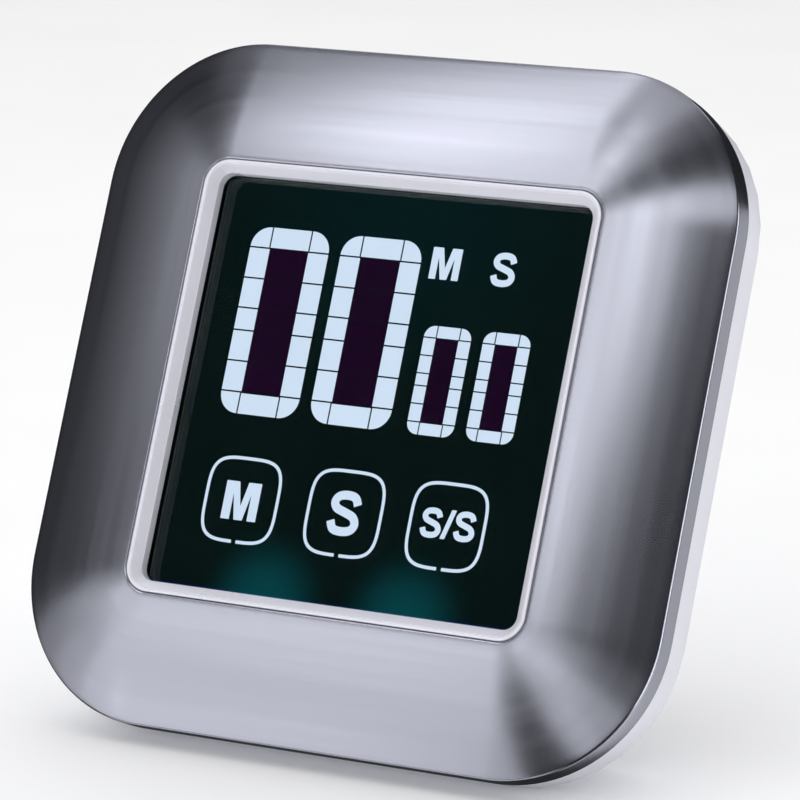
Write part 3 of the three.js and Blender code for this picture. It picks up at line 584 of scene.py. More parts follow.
# Wire insulation: smooth extruded PVC.
RED_WIRE = Finish("red_pvc", "#b01818", 0.35, 0.0, 1.53, grain=0.8, relief=0.002)
BLACK_WIRE = Finish("black_pvc", "#101012", 0.35, 0.0, 1.53, grain=0.8, relief=0.002)
# Screws: zinc-plated steel, bright with a blue cast.
ZINC = Finish("zinc_plated_steel", "#b2b6c0", 0.3, 1.0, grain=0.3, relief=0.002, mottle=0.06)
# Hinge pins: drawn bright steel, with lines along the pin.
PIN_STEEL = Finish("drawn_steel_pin", "#b9babf", 0.2, 1.0, grain=0.2, relief=0.001, stretch=(20.0, 1.0, 1.0))
# Polished steel dust cover of the crystal.
CAN = Finish("bright_nickel_can", "#cfcfd0", 0.16, 1.0, grain=0.9, relief=0.001)
# Lit marks: icy white from the cell's clear segments over the backlight.
ICE = LitMark("lit_segment", "#d3e6fa", 0.5, grain=9.0, mottle=0.03, gloss=0.0, glow=1.04)
# Unlit segments between the lit ones: violet-black.
VIOLET = LitMark("unlit_segment", "#18001f", 0.4, grain=14.0, mottle=0.25, gloss=0.0, glow=0.9)
# Floor: matt white seamless paper.
PAPER = Finish("white_paper", "#f6f6f7", 0.85, 0.0, 1.45, grain=4.0, relief=0.01, mottle=0.004)


# ---------------------------------------------------------------- mesh building


@dataclass
class Shape:
    """A closed mesh collected in the case's frame, in millimetres."""

    name: str
    points: list[tuple[float, float, float]] = field(default_factory=list)
    faces: list[list[int]] = field(default_factory=list)

    def prism(self, outline: Sequence[Point], front: float, back: float) -> None:
        """Adds a flat plate.

        Args:
            outline: its corners across the face, anticlockwise for someone reading the screen.
            front: the depth of its front.
            back: the depth of its back.
        """
        start, count = len(self.points), len(outline)
        self.points += [(x, front, up) for x, up in outline] + [(x, back, up) for x, up in outline]
        self.faces.append([start + i for i in range(count)])
        self.faces.append([start + 2 * count - 1 - i for i in range(count)])
        for i in range(count):
            after = (i + 1) % count
            self.faces.append([start + i, start + count + i, start + count + after, start + after])

    def ribbon(self, path: Sequence[Point], width: float, front: float, back: float) -> None:
        """Adds a flat line of even width.

        Args:
            path: the middle of the line.
            width: the width of the line.
            front: the depth of its front.
            back: the depth of its back.
        """
        start, count = len(self.points), len(path)
        for i, (x, up) in enumerate(path):
            before, after = path[max(i - 1, 0)], path[min(i + 1, count - 1)]
            along = Vector((after[0] - before[0], after[1] - before[1])).normalized() * (width / 2)
            left, right = (x - along.y, up + along.x), (x + along.y, up - along.x)
            self.points += [(left[0], front, left[1]), (right[0], front, right[1])]
            self.points += [(right[0], back, right[1]), (left[0], back, left[1])]
        for i in range(count - 1):
            here, there = start + 4 * i, start + 4 * i + 4
            for side in range(4):
                other = (side + 1) % 4
                self.faces.append([here + side, here + other, there + other, there + side])
        last = start + 4 * (count - 1)
        self.faces.append([start + 3, start + 2, start + 1, start])
        self.faces.append([last, last + 1, last + 2, last + 3])

    def piece(self, finish: Finish, body: str = "case", slot: str | None = None) -> bpy.types.Object:
        """Makes the mesh a piece of the timer.

        Args:
            finish: what it is made of.
            body: the CAD body that it moves with.
            slot: the record's material slot, if it has one; not used.

        Returns:
            The new object.
        """
        mesh = bpy.data.meshes.new(self.name)
        mesh.from_pydata([CASE.at(*p) for p in self.points], [], self.faces)
        work = bmesh.new()
        work.from_mesh(mesh)
        bmesh.ops.recalc_face_normals(work, faces=work.faces)
        work.to_mesh(mesh)
        work.free()
        mesh.materials.append(finish.material())
        made = bpy.data.objects.new(self.name, mesh)
        bpy.context.scene.collection.objects.link(made)
        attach(made, body)
        log.info("%s: %d faces in %s", self.name, len(mesh.polygons), finish.name)
        return made


@dataclass
class SquareSweep:
    """A profile carried round the case's squared outline, whose corners shrink as it comes inwards."""

    name: str
    profile: list[Point]  # half-width and depth, as a closed loop
    corner_steps: int = 28
    side_steps: int = 12
    case_half: ClassVar[float] = 45.0
    case_corner: ClassVar[float] = 20.0
    least_corner: ClassVar[float] = 1.2

    def ring(self, half: float) -> list[Point]:
        """Gives the squared outline of one half-width.

        Args:
            half: how far its straight sides are from the middle.

        Returns:
            Its points, anticlockwise, as many for any half-width.
        """
        radius = min(half, max(self.least_corner, self.case_corner - self.case_half + half))
        centre = half - radius
        points = []
        for quarter in range(4):
            turn = quarter * math.pi / 2
            side_x, side_y = math.cos(turn), math.sin(turn)
            middle = (centre * (side_x - side_y), centre * (side_y + side_x))
            for step in range(self.side_steps):
                along = -centre + 2 * centre * step / self.side_steps
                points.append((half * side_x - along * side_y, half * side_y + along * side_x))
            for step in range(self.corner_steps):
                angle = turn + step / self.corner_steps * math.pi / 2
                points.append((middle[0] + radius * math.cos(angle), middle[1] + radius * math.sin(angle)))
        return points

    def object(self, finish: Finish, slot: str, *stands_for: str) -> bpy.types.Object:
        """Sweeps the profile and records the way of the brushing on it.

        Args:
            finish: what it is made of.
            slot: the record's material slot.
            stands_for: the CAD nodes that it replaces.

        Returns:
            The new object.
        """
        shape = Shape(self.name)
        rings = [self.ring(half) for half, _ in self.profile]
        count = len(rings[0])
        for ring, (_, depth) in zip(rings, self.profile):
            shape.points += [(x, depth, up) for x, up in ring]
        rows = len(rings)
        for row in range(rows):
            below = (row + 1) % rows
            for i in range(count):
                after = (i + 1) % count
                here, there = row * count, below * count
                shape.faces.append([here + i, here + after, there + after, there + i])
        made = shape.piece(finish, slot=slot)
        self.lay_brushing(made.data, rings, count)
        made.data.polygons.foreach_set("use_smooth", [True] * len(made.data.polygons))
        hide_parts(*stands_for)
        return made

    def lay_brushing(self, mesh: bpy.types.Mesh, rings: list[list[Point]], count: int) -> None:
        """Stores the brush coordinates: across the profile, and round the outline as a closed circle.

        Args:
            mesh: the swept mesh, whose vertices lie ring after ring.
            rings: the outlines.
            count: how many points each outline has.
        """
        guide = max(rings, key=lambda ring: max(x for x, _ in ring))
        steps = [math.dist(guide[i], guide[(i + 1) % count]) for i in range(count)]
        total = sum(steps)
        travelled = [sum(steps[:i]) for i in range(count + 1)]
        across = [0.0]
        for one, other in zip(self.profile, self.profile[1:]):
            across.append(across[-1] + math.dist(one, other))
        round_radius = total / (2 * math.pi) * MM
        brush = mesh.attributes.new("brush", "FLOAT_VECTOR", "POINT")
        values: list[float] = []
        for u in across:
            for i in range(count):
                angle = 2 * math.pi * travelled[i] / total
                values += [u * MM, round_radius * math.cos(angle), round_radius * math.sin(angle)]
        brush.data.foreach_set("vector", values)
        layer = mesh.uv_layers.new(name="brushing")
        closing = across[-1] + math.dist(self.profile[-1], self.profile[0])
        for polygon in mesh.polygons:
            rows = {mesh.loops[i].vertex_index // count for i in polygon.loop_indices}
            columns = {mesh.loops[i].vertex_index % count for i in polygon.loop_indices}
            last_row, last_column = rows == {0, len(rings) - 1}, columns == {0, count - 1}
            for i in polygon.loop_indices:
                row, column = divmod(mesh.loops[i].vertex_index, count)
                u = closing if last_row and row == 0 else across[row]
                v = total if last_column and column == 0 else travelled[column]
                layer.data[i].uv = (u / total, v / total)


def fillet(corner: Point, before: Point, after: Point, radius: float, steps: int = 4) -> list[Point]:
    """Rounds one corner of a profile.

    Args:
        corner: the sharp corner.
        before: the point before it.
        after: the point after it.
        radius: how far from the corner the rounding starts.
        steps: how many pieces it has.

    Returns:
        The points of the rounding.
    """
    here, back, ahead = Vector(corner), Vector(before), Vector(after)
    start = here + (back - here).normalized() * radius
    end = here + (ahead - here).normalized() * radius
    points = []
    for i in range(steps + 1):
        t = i / steps
        point = start * (1 - t) ** 2 + here * (2 * t * (1 - t)) + end * t * t
        points.append((point.x, point.y))
    return points


def rounded_profile(corners: list[Point], radii: list[float], steps: int = 4) -> list[Point]:
    """Rounds each corner of a closed profile.

    Args:
        corners: its sharp corners.
        radii: how far each one is rounded.
        steps: how many pieces each rounding has.

    Returns:
        The rounded profile.
    """
    points: list[Point] = []
    for i, corner in enumerate(corners):
        points += fillet(corner, corners[i - 1], corners[(i + 1) % len(corners)], radii[i], steps)
    return points


def dress(finish: Finish, *nodes: str, bevel: float = 0.0, smooth_below: float = 32.0) -> None:
    """Gives CAD nodes their finish, softened edges and smooth shading over gentle curves.

    Args:
        finish: what they are made of.
        nodes: the names of the CAD nodes.
        bevel: the width of their softened edges, or 0 for none.
        smooth_below: edges that turn less than this many degrees are shaded smooth.
    """
    for name in nodes:
        node = frame["nodes"][name]
        node.data.materials.clear()
        node.data.materials.append(finish.material())
        weld = node.modifiers.new("weld", "WELD")
        weld.merge_threshold = 0.002 * MM
        if bevel:
            flatten = node.modifiers.new("flatten", "DECIMATE")
            flatten.decimate_type = "DISSOLVE"
            flatten.angle_limit = math.radians(0.5)
            soften = node.modifiers.new("soften", "BEVEL")
            soften.width = bevel * MM
            soften.segments = 2
            soften.limit_method = "ANGLE"
            soften.angle_limit = math.radians(smooth_below)
        shading = node.modifiers.new("smooth", "NODES")
        shading.node_group = smooth_by_angle(smooth_below)
        if bevel:
            level = node.modifiers.new("level", "WEIGHTED_NORMAL")
            level.weight, level.keep_sharp = 100, True
        log.info("%s: dressed in %s", name, finish.name)


def smooth_by_angle(limit: float) -> Tree:
    """Makes the geometry nodes that shade smooth over edges below an angle.

    Args:
        limit: the angle in degrees.

    Returns:
        The node group, made once for each angle.
    """
    name = f"smooth_below_{limit:.0f}"
    ready = bpy.data.node_groups.get(name)
    if ready:
        return ready
    tree = bpy.data.node_groups.new(name, "GeometryNodeTree")
    tree.interface.new_socket("Geometry", in_out="INPUT", socket_type="NodeSocketGeometry")
    tree.interface.new_socket("Geometry", in_out="OUTPUT", socket_type="NodeSocketGeometry")
    source = add_node(tree, "NodeGroupInput")
    angle = add_node(tree, "GeometryNodeInputMeshEdgeAngle").outputs[0]
    settings = {"data_type": "FLOAT", "operation": "LESS_THAN", 1: math.radians(limit)}
    gentle = add_node(tree, "FunctionNodeCompare", settings, {0: angle}).outputs[0]
    settings = {"domain": "FACE", "Shade Smooth": True}
    faces = add_node(tree, "GeometryNodeSetShadeSmooth", settings, {0: source.outputs[0]}).outputs[0]
    links = {0: faces, "Shade Smooth": gentle}
    edges = add_node(tree, "GeometryNodeSetShadeSmooth", {"domain": "EDGE"}, links).outputs[0]
    add_node(tree, "NodeGroupOutput", links={0: edges})
    return tree


# ---------------------------------------------------------------- front


@dataclass
class Front:
    """The brushed steel front and the silver trim around the window."""

    half: float = 45.0
    side_depth: float = 3.4
    edge_radius: float = 0.6
    edge_turn: float = 60.0  # how far round the rolled edge goes before the slope starts
    edge_steps: int = 8
    crest: Point = (28.48, -3.95)
    crown: float = 1.5  # how far the curve's handle swells above the straight slope
    sheet: float = 0.8
    lip_round: float = 0.28  # of the edge around the window
    foot_round: float = 0.12  # of the side's lower edges
    steps: int = 26
    trim_corners: ClassVar[list[Point]] = [
        (26.8, -1.55),
        (26.8, -2.87),
        (27.88, -3.95),
        (27.95, -3.87),
        (28.04, -4.05),
        (28.28, -4.05),
        (28.38, -3.95),
        (28.38, -2.65),
        (31.38, -2.65),
        (31.38, -1.55),
    ]
    trim_radii: ClassVar[list[float]] = [0.05, 0.1, 0.06, 0.03, 0.06, 0.06, 0.04, 0.05, 0.05, 0.05]

    def slope(self, inward: float) -> list[Point]:
        """Gives the crowned slope from the side's foot to the crest, moved inwards by a thickness.

        Args:
            inward: how far inside the outer surface it runs.

        Returns:
            Points from the foot of the side to the crest.
        """
        middle = Vector((self.half - self.edge_radius, self.edge_radius))
        radius = self.edge_radius - inward
        points = [(self.half - inward, self.side_depth)]
        turn = math.radians(-self.edge_turn)
        if radius > 0:
            for i in range(self.edge_steps + 1):
                angle = turn * i / self.edge_steps
                points.append((middle.x + radius * math.cos(angle), middle.y + radius * math.sin(angle)))
        else:
            points.append((self.half - inward, middle.y))
        end = middle + Vector((math.cos(turn), math.sin(turn))) * self.edge_radius
        top = Vector(self.crest)
        chord = (top - end).normalized()
        handle = (end + top) / 2 + Vector((-chord.y, chord.x)) * self.crown
        for i in range(1 if radius > 0 else 0, self.steps + 1):
            t = i / self.steps
            place = end * (1 - t) ** 2 + handle * (2 * t * (1 - t)) + top * t * t
            run = (handle - end) * (1 - t) + (top - handle) * t
            place += Vector((run.y, -run.x)).normalized() * inward
            points.append((max(place.x, self.crest[0]), place.y))
        return points

    def build(self) -> None:
        """Builds both sheets and dresses what they sit on."""
        outside, inside = self.slope(0.0), self.slope(self.sheet)
        lip = fillet(outside[-1], outside[-2], inside[-1], self.lip_round)
        foot = fillet(outside[0], inside[0], outside[1], self.foot_round)
        inner_foot = fillet(inside[0], inside[1], outside[0], self.foot_round)
        profile = foot + outside[1:-1] + lip + inside[:0:-1] + inner_foot
        SquareSweep("bezel_sheet", profile).object(STEEL, "brushed_steel", "front_bezel")
        trim = rounded_profile(self.trim_corners, self.trim_radii)
        SquareSweep("trim_ring", trim).object(TRIM_PAINTED_SHEEN, "polished_steel", "screen_trim")
        dress(FOAM, "glass_gasket", bevel=0.1)
        dress(BLACK_ABS, "carrier_frame", bevel=0.15)


# ---------------------------------------------------------------- screen


class Key(Enum):
    """The three touch keys: the middle of each ring across the face, and its lettering."""

    MINUTES = (-15.35, "M")
    SECONDS = (-0.4, "S")
    START_STOP = (14.15, "S/S")


@dataclass
class Digit:
    """One digit of the display, cut into its segments."""

    left: float
    right: float
    bottom: float
    top: float
    column: float
    row: float
    corner: float
    breaks_up: tuple[float, ...]
    breaks_across: tuple[float, float]
    seam: float

    def cells(self) -> list[list[Point]]:
        """Gives the outline of each lit segment.

        Returns:
            The outlines, the four corner ones rounded.
        """
        half = self.seam / 2
        ups = [self.top, *self.breaks_up, self.bottom]
        inner_left, inner_right = self.breaks_across
        outlines = []
        for i, (high, low) in enumerate(zip(ups, ups[1:])):
            first, last = i == 0, i == len(ups) - 2
            up0, up1 = (low if last else low + half), (high if first else high - half)
            for side, x0, x1 in ((-1, self.left, inner_left - half), (1, inner_right + half, self.right)):
                if not (first or last):
                    x0 = x0 if side < 0 else self.right - self.column
                    x1 = x1 if side > 0 else self.left + self.column
                rounded = [last and side < 0, last and side > 0, first and side > 0, first and side < 0]
                outlines.append(self.block(x0, x1, up0, up1, rounded))
        for up0, up1 in ((self.top - self.row, self.top), (self.bottom, self.bottom + self.row)):
            outlines.append(self.block(inner_left + half, inner_right - half, up0, up1, [False] * 4))
        return outlines

    def fill(self) -> list[list[Point]]:
        """Gives the outline of each unlit segment between the lit ones.

        Returns:
            The outlines.
        """
        half = self.seam / 2
        left, right = self.left + self.column + half, self.right - self.column - half
        ups = [self.top - self.row - half, *self.breaks_up[1:-1], self.bottom + self.row + half]
        pairs = zip(ups, ups[1:])
        return [self.block(left, right, low + half / 2, high - half / 2, [False] * 4) for high, low in pairs]

    def block(self, x0: float, x1: float, up0: float, up1: float, rounded: list[bool]) -> list[Point]:
        """Gives a rectangle with some of its corners rounded.

        Args:
            x0: its left side.
            x1: its right side.
            up0: its foot.
            up1: its top.
            rounded: which corners are rounded, anticlockwise from the lower left.

        Returns:
            Its points, anticlockwise.
        """
        corners = [(x0, up0), (x1, up0), (x1, up1), (x0, up1)]
        radius = min(self.corner, x1 - x0, up1 - up0)
        radii = [radius if r else 0.0 for r in rounded]
        return rounded_arcs(corners, radii)


def rounded_arcs(corners: list[Point], radii: list[float], steps: int = 8) -> list[Point]:
    """Rounds the corners of a rectangle with true arcs.

    Args:
        corners: its corners, anticlockwise from the lower left.
        radii: the radius of each, or 0 to keep it sharp.
        steps: how many pieces each arc has.

    Returns:
        The rounded outline.
    """
    points: list[Point] = []
    for i, (x, up) in enumerate(corners):
        radius = radii[i]
        if not radius:
            points.append((x, up))
            continue
        start = math.pi + i * math.pi / 2
        centre = (x + (radius if i in (0, 3) else -radius), up + (radius if i in (0, 1) else -radius))
        for step in range(steps + 1):
            angle = start + step / steps * math.pi / 2
            points.append((centre[0] + radius * math.cos(angle), centre[1] + radius * math.sin(angle)))
    return points


@dataclass
class Screen:
    """The glass, the layers behind it, and what the display shows."""

    front: float = 0.165  # depth of the lit marks, between the touch film and the front polariser
    back: float = 0.19
    shift: float = -0.53  # the marks lie behind the glass, and this lines them up with the window
    big_up: ClassVar[tuple[float, ...]] = (18.0, 13.95, 10.0, 7.05, 3.05, -0.95)
    small_up: ClassVar[tuple[float, ...]] = (8.7, 6.4, 4.1, 2.5, 0.2, -2.1)
    key_up: float = -14.75
    key_size: ClassVar[Point] = (10.8, 11.2)
    key_opening: float = 0.0045  # half of the gap in each ring, in radians before it is squared off
    key_steps: int = 72
    line: float = 0.42
    m_places: ClassVar[Places] = ((4.9, 9.05, 16.2, 20.3, 0.95), (-17.9, -12.8, -17.35, -12.4, 1.25))
    s_places: ClassVar[Places] = (
        (13.5, 16.9, 16.1, 20.4, 0.86),
        (-2.65, 1.9, -17.55, -11.9, 1.12),
        (10.5, 13.4, -16.35, -12.6, 0.76),
        (15.2, 18.1, -16.35, -12.6, 0.76),
    )
    slash: ClassVar[list[Point]] = [(13.45, -16.35), (14.1, -16.35), (15.15, -12.6), (14.5, -12.6)]
    s_steps: int = 6  # between two points of an S's middle line
    s_path: ClassVar[list[Point]] = [
        (0.87, 0.70),
        (0.76, 0.865),
        (0.5, 0.91),
        (0.25, 0.865),
        (0.15, 0.73),
        (0.24, 0.6),
        (0.5, 0.52),
        (0.77, 0.43),
        (0.87, 0.27),
        (0.76, 0.13),
        (0.5, 0.085),
        (0.22, 0.13),
        (0.11, 0.31),
    ]

    def digits(self) -> list[Digit]:
        """Gives the four digits, two large for the minutes and two small for the seconds.

        Returns:
            The digits from left to right.
        """
        big = {"bottom": -3.75, "top": 20.75, "column": 2.9, "row": 2.65, "corner": 2.8}
        big |= {"breaks_up": self.big_up, "seam": 0.21}
        small = {"bottom": -3.7, "top": 10.25, "column": 1.7, "row": 1.5, "corner": 1.5}
        small |= {"breaks_up": self.small_up, "seam": 0.17}
        return [
            Digit(left=-21.4, right=-9.9, breaks_across=(-18.55, -12.8), **big),
            Digit(left=-8.15, right=3.45, breaks_across=(-5.3, 0.55), **big),
            Digit(left=5.9, right=12.55, breaks_across=(7.65, 10.9), **small),
            Digit(left=14.25, right=20.85, breaks_across=(15.9, 19.2), **small),
        ]

    def moved(self, outline: Sequence[Point]) -> list[Point]:
        """Moves an outline to where it shows through the glass in the right place."""
        return [(x + self.shift, up) for x, up in outline]

    def letter_m(self, left: float, right: float, bottom: float, top: float, stem: float) -> list[Point]:
        """Gives a bold M.

        Args:
            left: its left side.
            right: its right side.
            bottom: its foot.
            top: its top.
            stem: the width of its uprights.

        Returns:
            Its outline.
        """
        wide, high = right - left, top - bottom
        half = [(0, high), (0, 0), (stem, 0), (stem, 0.7 * high), (wide / 2 - 0.48 * stem, 0)]
        mirrored = [(wide - x, up) for x, up in reversed(half)]
        dip = [(wide - 1.5 * stem, high), (wide / 2, 0.36 * high), (1.5 * stem, high)]
        return [(left + x, bottom + up) for x, up in [*half, *mirrored, *dip]]

    def letter_s(self, left: float, right: float, bottom: float, top: float) -> list[Point]:
        """Gives the middle line of a bold S.

        Args:
            left: its left side.
            right: its right side.
            bottom: its foot.
            top: its top.

        Returns:
            The points of its middle line, in a smooth curve.
        """
        control = [self.s_path[0], *self.s_path, self.s_path[-1]]
        points: list[Point] = []
        for a, b, c, d in zip(control, control[1:], control[2:], control[3:]):
            for step in range(self.s_steps):
                t = step / self.s_steps
                points.append(tuple(spline(a[k], b[k], c[k], d[k], t) for k in (0, 1)))
        points.append(self.s_path[-1])
        return [(left + x * (right - left), bottom + up * (top - bottom)) for x, up in points]

    def ring(self, middle: float) -> list[Point]:
        """Gives the line round a touch key, open at the foot.

        Args:
            middle: the key's middle across the face.

        Returns:
            The points of the line.
        """
        points = []
        half = [(size - self.line) / 2 for size in self.key_size]
        start = self.key_opening - math.pi / 2
        for i in range(self.key_steps + 1):
            angle = start + (2 * math.pi - 2 * self.key_opening) * i / self.key_steps
            reach = [abs(f) ** 0.5 * math.copysign(1, f) for f in (math.cos(angle), math.sin(angle))]
            points.append((middle + reach[0] * half[0], self.key_up + reach[1] * half[1]))
        return points

    def build(self) -> None:
        """Builds the lit and unlit marks and dresses the layers."""
        lit, unlit = Shape("display_segments"), Shape("display_fill")
        for digit in self.digits():
            for outline in digit.cells():
                lit.prism(self.moved(outline), self.front, self.back)
            for outline in digit.fill():
                unlit.prism(self.moved(outline), self.front + 0.01, self.back)
        lit.piece(ICE)
        unlit.piece(VIOLET)
        letters = Shape("display_letters")
        for *box, stem in self.m_places:
            letters.prism(self.moved(self.letter_m(*box, stem)), self.front, self.back)
        for *box, width in self.s_places:
            letters.ribbon(self.moved(self.letter_s(*box)), width, self.front, self.back)
        letters.prism(self.moved(self.slash), self.front, self.back)
        letters.piece(ICE)
        rings = Shape("key_rings")
        for key in Key:
            rings.ribbon(self.moved(self.ring(key.value[0])), self.line, self.front, self.back)
        rings.piece(ICE)
        dress(GLASS, "touch_glass", bevel=0.12)
        dress(FILM, "touch_film")
        dress(POLARISER, "front_polariser", "rear_polariser")
        dress(CELL_GLASS, "lcd_cell")
        dress(WHITE_FILM, "diffuser_film", "reflector_film")
        dress(ACRYLIC, "light_guide", bevel=0.1)
        dress(LAMP, "backlight_led_left", "backlight_led_right", bevel=0.08)


def spline(a: float, b: float, c: float, d: float, t: float) -> float:
    """Gives a point between b and c of a smooth curve through all four."""
    return 0.5 * (2 * b + (c - a) * t + (2 * a - 5 * b + 4 * c - d) * t**2 + (3 * b - a - 3 * c + d) * t**3)


# ---------------------------------------------------------------- inside, back and moving parts


@dataclass
class Electronics:
    """The circuit board and what is soldered to it."""

    edge: float = 0.1

    def build(self) -> None:
        """Dresses the board and its parts."""
        dress(BOARD, "main_board", bevel=self.edge)
        dress(EPOXY, "controller_blob", "touch_chip", bevel=self.edge)
        dress(CAN, "crystal_can", bevel=self.edge)
        dress(FERRITE, "boost_inductor", bevel=self.edge)
        dress(CAPACITOR, "reservoir_capacitor", bevel=self.edge)
        dress(SILICONE, "zebra_strip", bevel=self.edge)
        dress(BRASS, "piezo_disc")
        dress(SOUNDER, "piezo_ceramic")
        dress(RED_WIRE, "piezo_wire_red", "battery_wire_red", smooth_below=60.0)
        dress(BLACK_WIRE, "piezo_wire_black", "battery_wire_black", smooth_below=60.0)
        dress(ZINC, *(f"board_screw_{i}" for i in range(1, 5)), bevel=self.edge)


@dataclass
class Power:
    """The two cells and their contacts."""

    def build(self) -> None:
        """Dresses the cells and contacts."""
        sleeve = {"colour": "#23242a", "roughness": 0.25, "grain": 2.5, "relief": 0.002, "coat": 0.5}
        dress(CellSleeve("upper_cell_sleeve", node="battery_upper", positive=1.0, **sleeve), "battery_upper")
        dress(CellSleeve("lower_cell_sleeve", node="battery_lower", positive=-1.0, **sleeve), "battery_lower")
        dress(NICKEL, "contact_negative", "contact_positive", "contact_bridge", bevel=0.08)
        dress(NICKEL, "contact_spring_upper", "contact_spring_lower", smooth_below=60.0)


@dataclass
class Back:
    """The rear cover with its door, magnets, screws, switch and leg."""

    edge: float = 0.18

    def build(self) -> None:
        """Dresses everything that shows from behind."""
        dress(SILVER_ABS, "rear_cover", "battery_door", "stand_leg", bevel=self.edge)
        dress(MAGNET, "magnet_left", "magnet_right", bevel=0.2)
        dress(ZINC, *(f"case_screw_{i}" for i in range(1, 5)), bevel=0.1)
        dress(PIN_STEEL, "stand_pin_left", "stand_pin_right", bevel=0.1)
        dress(BLACK_ABS, "switch_body", "power_switch_knob", bevel=0.15)


# ---------------------------------------------------------------- studio


@dataclass(frozen=True)
class Softbox:
    """A soft light, placed by how far and which way it lies from where the screen mirrors the camera."""

    name: str
    turn: float  # which way it lies: 0 is to the right, 90 up
    near: float  # where it starts and ends, in degrees from the mirrored camera
    far: float
    wide: float  # how many degrees it spans across that
    brightness: float
    distance: float = 0.9
    mirror: ClassVar[Point] = (-28.0, 8.0)

    def build(self) -> None:
        """Adds the light, unseen by the camera itself."""
        ahead = CASE.direction(*self.mirror)
        up = (CASE.up - ahead * CASE.up.dot(ahead)).normalized()
        right = up.cross(ahead).normalized()
        turn, middle = math.radians(self.turn), math.radians((self.near + self.far) / 2)
        outward = right * math.cos(turn) + up * math.sin(turn)
        way = ahead * math.cos(middle) + outward * math.sin(middle)
        along = outward * math.cos(middle) - ahead * math.sin(middle)
        light = bpy.data.lights.new(self.name, "AREA")
        light.shape = "RECTANGLE"
        light.size = 2 * self.distance * math.tan(math.radians(self.wide / 2))
        light.size_y = 2 * self.distance * math.tan(math.radians((self.far - self.near) / 2))
        light.energy = self.brightness * math.pi * light.size * light.size_y
        made = bpy.data.objects.new(self.name, light)
        bpy.context.scene.collection.objects.link(made)
        made.location = CASE.at(0, 0, 0) + way * self.distance
        made.rotation_mode = "QUATERNION"
        made.rotation_quaternion = Matrix((along.cross(way), along, way)).transposed().to_quaternion()
        made.visible_camera = False


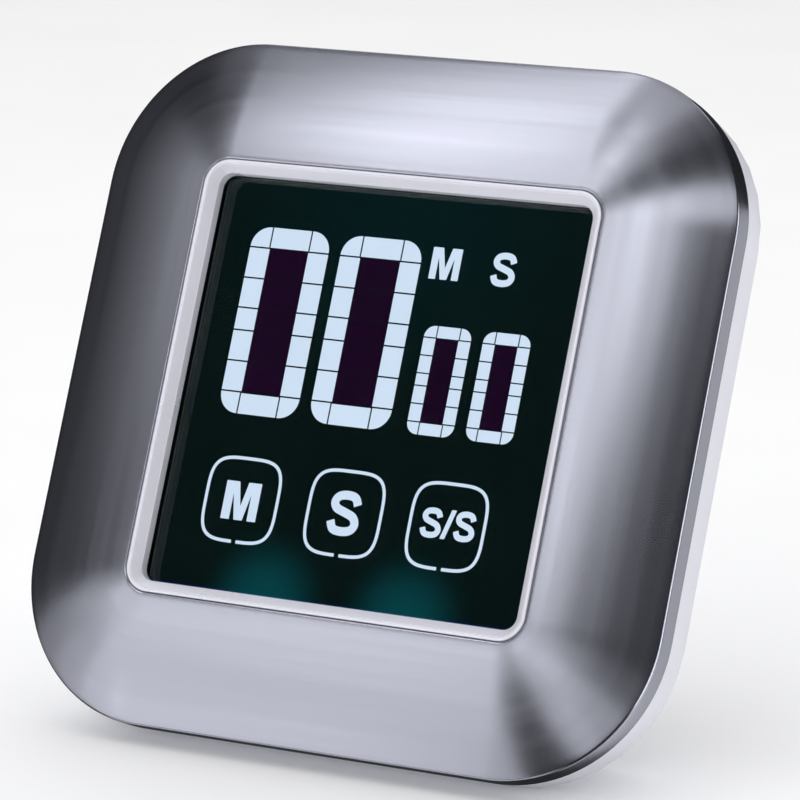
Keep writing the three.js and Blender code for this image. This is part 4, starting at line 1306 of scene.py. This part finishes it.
@dataclass
class Studio:
    """The floor, the lights round the timer and the camera."""

    floor_radius: float = 1.6
    floor_sides: int = 96
    fill: float = 0.86
    metal_fill: float = 0.02
    metal_tint: ClassVar[tuple[float, ...]] = (0.9, 0.92, 1.0, 1.0)
    lens: float = 211.2
    sensor: float = 36.0
    aim: ClassVar[tuple[float, float, float]] = (2.85, 2.13, -0.2)  # from the middle of the glass
    azimuth: float = 28.67
    elevation: float = 12.23
    distance: float = 590.0
    clip: Point = (0.05, 20.0)  # nearest and farthest that the camera sees, in metres
    # Fans of three panels round the mirrored camera: which way, how wide in degrees, how bright outwards.
    fans: ClassVar[tuple[tuple[float, float, tuple[float, float, float]], ...]] = (
        (358, 12, (2.44, 0.07, 0)),
        (10, 12, (1.17, 1.46, 0)),
        (23.5, 15, (1.75, 1.5, 0.85)),
        (59.5, 13, (1.1, 0.5, 0.1)),
        (73, 14, (2.2, 1.3, 0.47)),
        (86, 12, (0.2, 0.2, 0.45)),
        (99, 13, (3.4, 2.1, 1.2)),
        (118, 18, (0.35, 0, 0.1)),
        (162.5, 40, (0.51, 0.14, 0)),
        (208, 16, (0.09, 0.5, 0.28)),
        (224, 16, (1.58, 0.49, 0.52)),
        (240, 16, (0.77, 0.86, 0.82)),
        (256, 16, (1.29, 0.79, 0.94)),
        (272.5, 17, (1.36, 0.95, 0.59)),
        (286.5, 11, (1.34, 0.15, 0)),
        (298, 12, (0.27, 0, 0)),
        (310, 12, (1.8, 0.52, 0.68)),
        (323, 14, (0.79, 0.96, 0.49)),
        (337, 14, (1, 0.42, 0.1)),
        (348, 8, (0.73, 0, 0)),
    )
    rings: ClassVar[tuple[Point, ...]] = ((9, 20), (20, 36), (36, 66))
    boxes: ClassVar[tuple[Softbox, ...]] = (
        Softbox("side_box", 2, 106, 130, 60, 2),
        Softbox("over_box", 100, 76, 100, 60, 0.7),
        Softbox("under_box", 255, 76, 100, 60, 0.7),
        Softbox("back_box", 0, 150, 200, 60, 0.5),
        Softbox("low_box", 305, 125, 165, 70, 0.5),
    )

    def build(self) -> None:
        """Builds the floor, the world, the lights and the camera."""
        self.floor()
        self.world()
        for box in (*self.fan_boxes(), *self.boxes):
            box.build()
        self.camera()

    def fan_boxes(self) -> list[Softbox]:
        """Turns the fans' panels into soft lights.

        Returns:
            One light for each panel that is lit.
        """
        made = []
        for turn, spread, levels in self.fans:
            for (near, far), level in zip(self.rings, levels):
                middle = math.radians((near + far) / 2)
                wide = 2 * math.degrees(math.atan(math.tan(math.radians(spread / 2)) * math.sin(middle)))
                if level:
                    made.append(Softbox(f"fan_{turn:.0f}_{near:.0f}", turn, near, far, wide, level))
        return made

    def floor(self) -> None:
        """Lays the sheet of paper that the timer stands on, with a rounded outline."""
        mesh = bpy.data.meshes.new("floor")
        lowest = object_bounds()[0].z
        turns = [2 * math.pi * i / self.floor_sides for i in range(self.floor_sides)]
        rim = [(self.floor_radius * math.cos(t), self.floor_radius * math.sin(t), lowest) for t in turns]
        mesh.from_pydata(rim, [], [list(range(self.floor_sides))])
        mesh.materials.append(PAPER.material())
        made = bpy.data.objects.new("floor", mesh)
        bpy.context.scene.collection.objects.link(made)
        made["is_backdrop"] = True
        made.visible_glossy = False
        made.visible_shadow = False

    def world(self) -> None:
        """Sets the surrounding light: white to look at, even on dull surfaces and dim in the metal."""
        world = bpy.data.worlds.new("studio")
        world.use_nodes = True
        tree = world.node_tree
        tree.nodes.clear()
        path = add_node(tree, "ShaderNodeLightPath").outputs
        white = (1, 1, 1, 1)
        dim, even, backdrop = (
            add_node(tree, "ShaderNodeBackground", {"Strength": strength, "Color": colour}).outputs[0]
            for strength, colour in ((self.metal_fill, self.metal_tint), (self.fill, white), (1.0, white))
        )
        shown = dim
        for ray, light in (("Is Diffuse Ray", even), ("Is Camera Ray", backdrop)):
            shown = add_node(tree, "ShaderNodeMixShader", links={0: path[ray], 1: shown, 2: light}).outputs[0]
        add_node(tree, "ShaderNodeOutputWorld", links={"Surface": shown})
        world.cycles.sampling_method = "NONE"
        bpy.context.scene.world = world

    def camera(self) -> None:
        """Sets up the camera, level and aimed near the middle of the glass."""
        lens = bpy.data.cameras.new("camera")
        lens.lens, lens.sensor_width = self.lens, self.sensor
        lens.clip_start, lens.clip_end = self.clip
        made = bpy.data.objects.new("camera", lens)
        bpy.context.scene.collection.objects.link(made)
        low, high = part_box("touch_glass")
        turn, rise = math.radians(self.azimuth), math.radians(self.elevation)
        way = Vector((math.sin(turn) * math.cos(rise), -math.cos(turn) * math.cos(rise), math.sin(rise)))
        target = (low + high) / 2 + Vector(self.aim) * MM
        made.location = target + way * self.distance * MM
        made.rotation_mode = "QUATERNION"
        made.rotation_quaternion = (-way).to_track_quat("-Z", "Y")
        bpy.context.scene.camera = made
        view = bpy.context.scene.view_settings
        view.view_transform, view.look = "Standard", "None"


def main() -> None:
    """Builds the timer and the studio, and reports each piece."""
    logging.basicConfig(level=logging.INFO, format="%(name)s: %(message)s")
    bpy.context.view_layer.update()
    for part in (Front(), Screen(), Electronics(), Power(), Back(), Studio()):
        part.build()
        log.info("%s done", type(part).__name__)


if __name__ == "__main__":
    main()
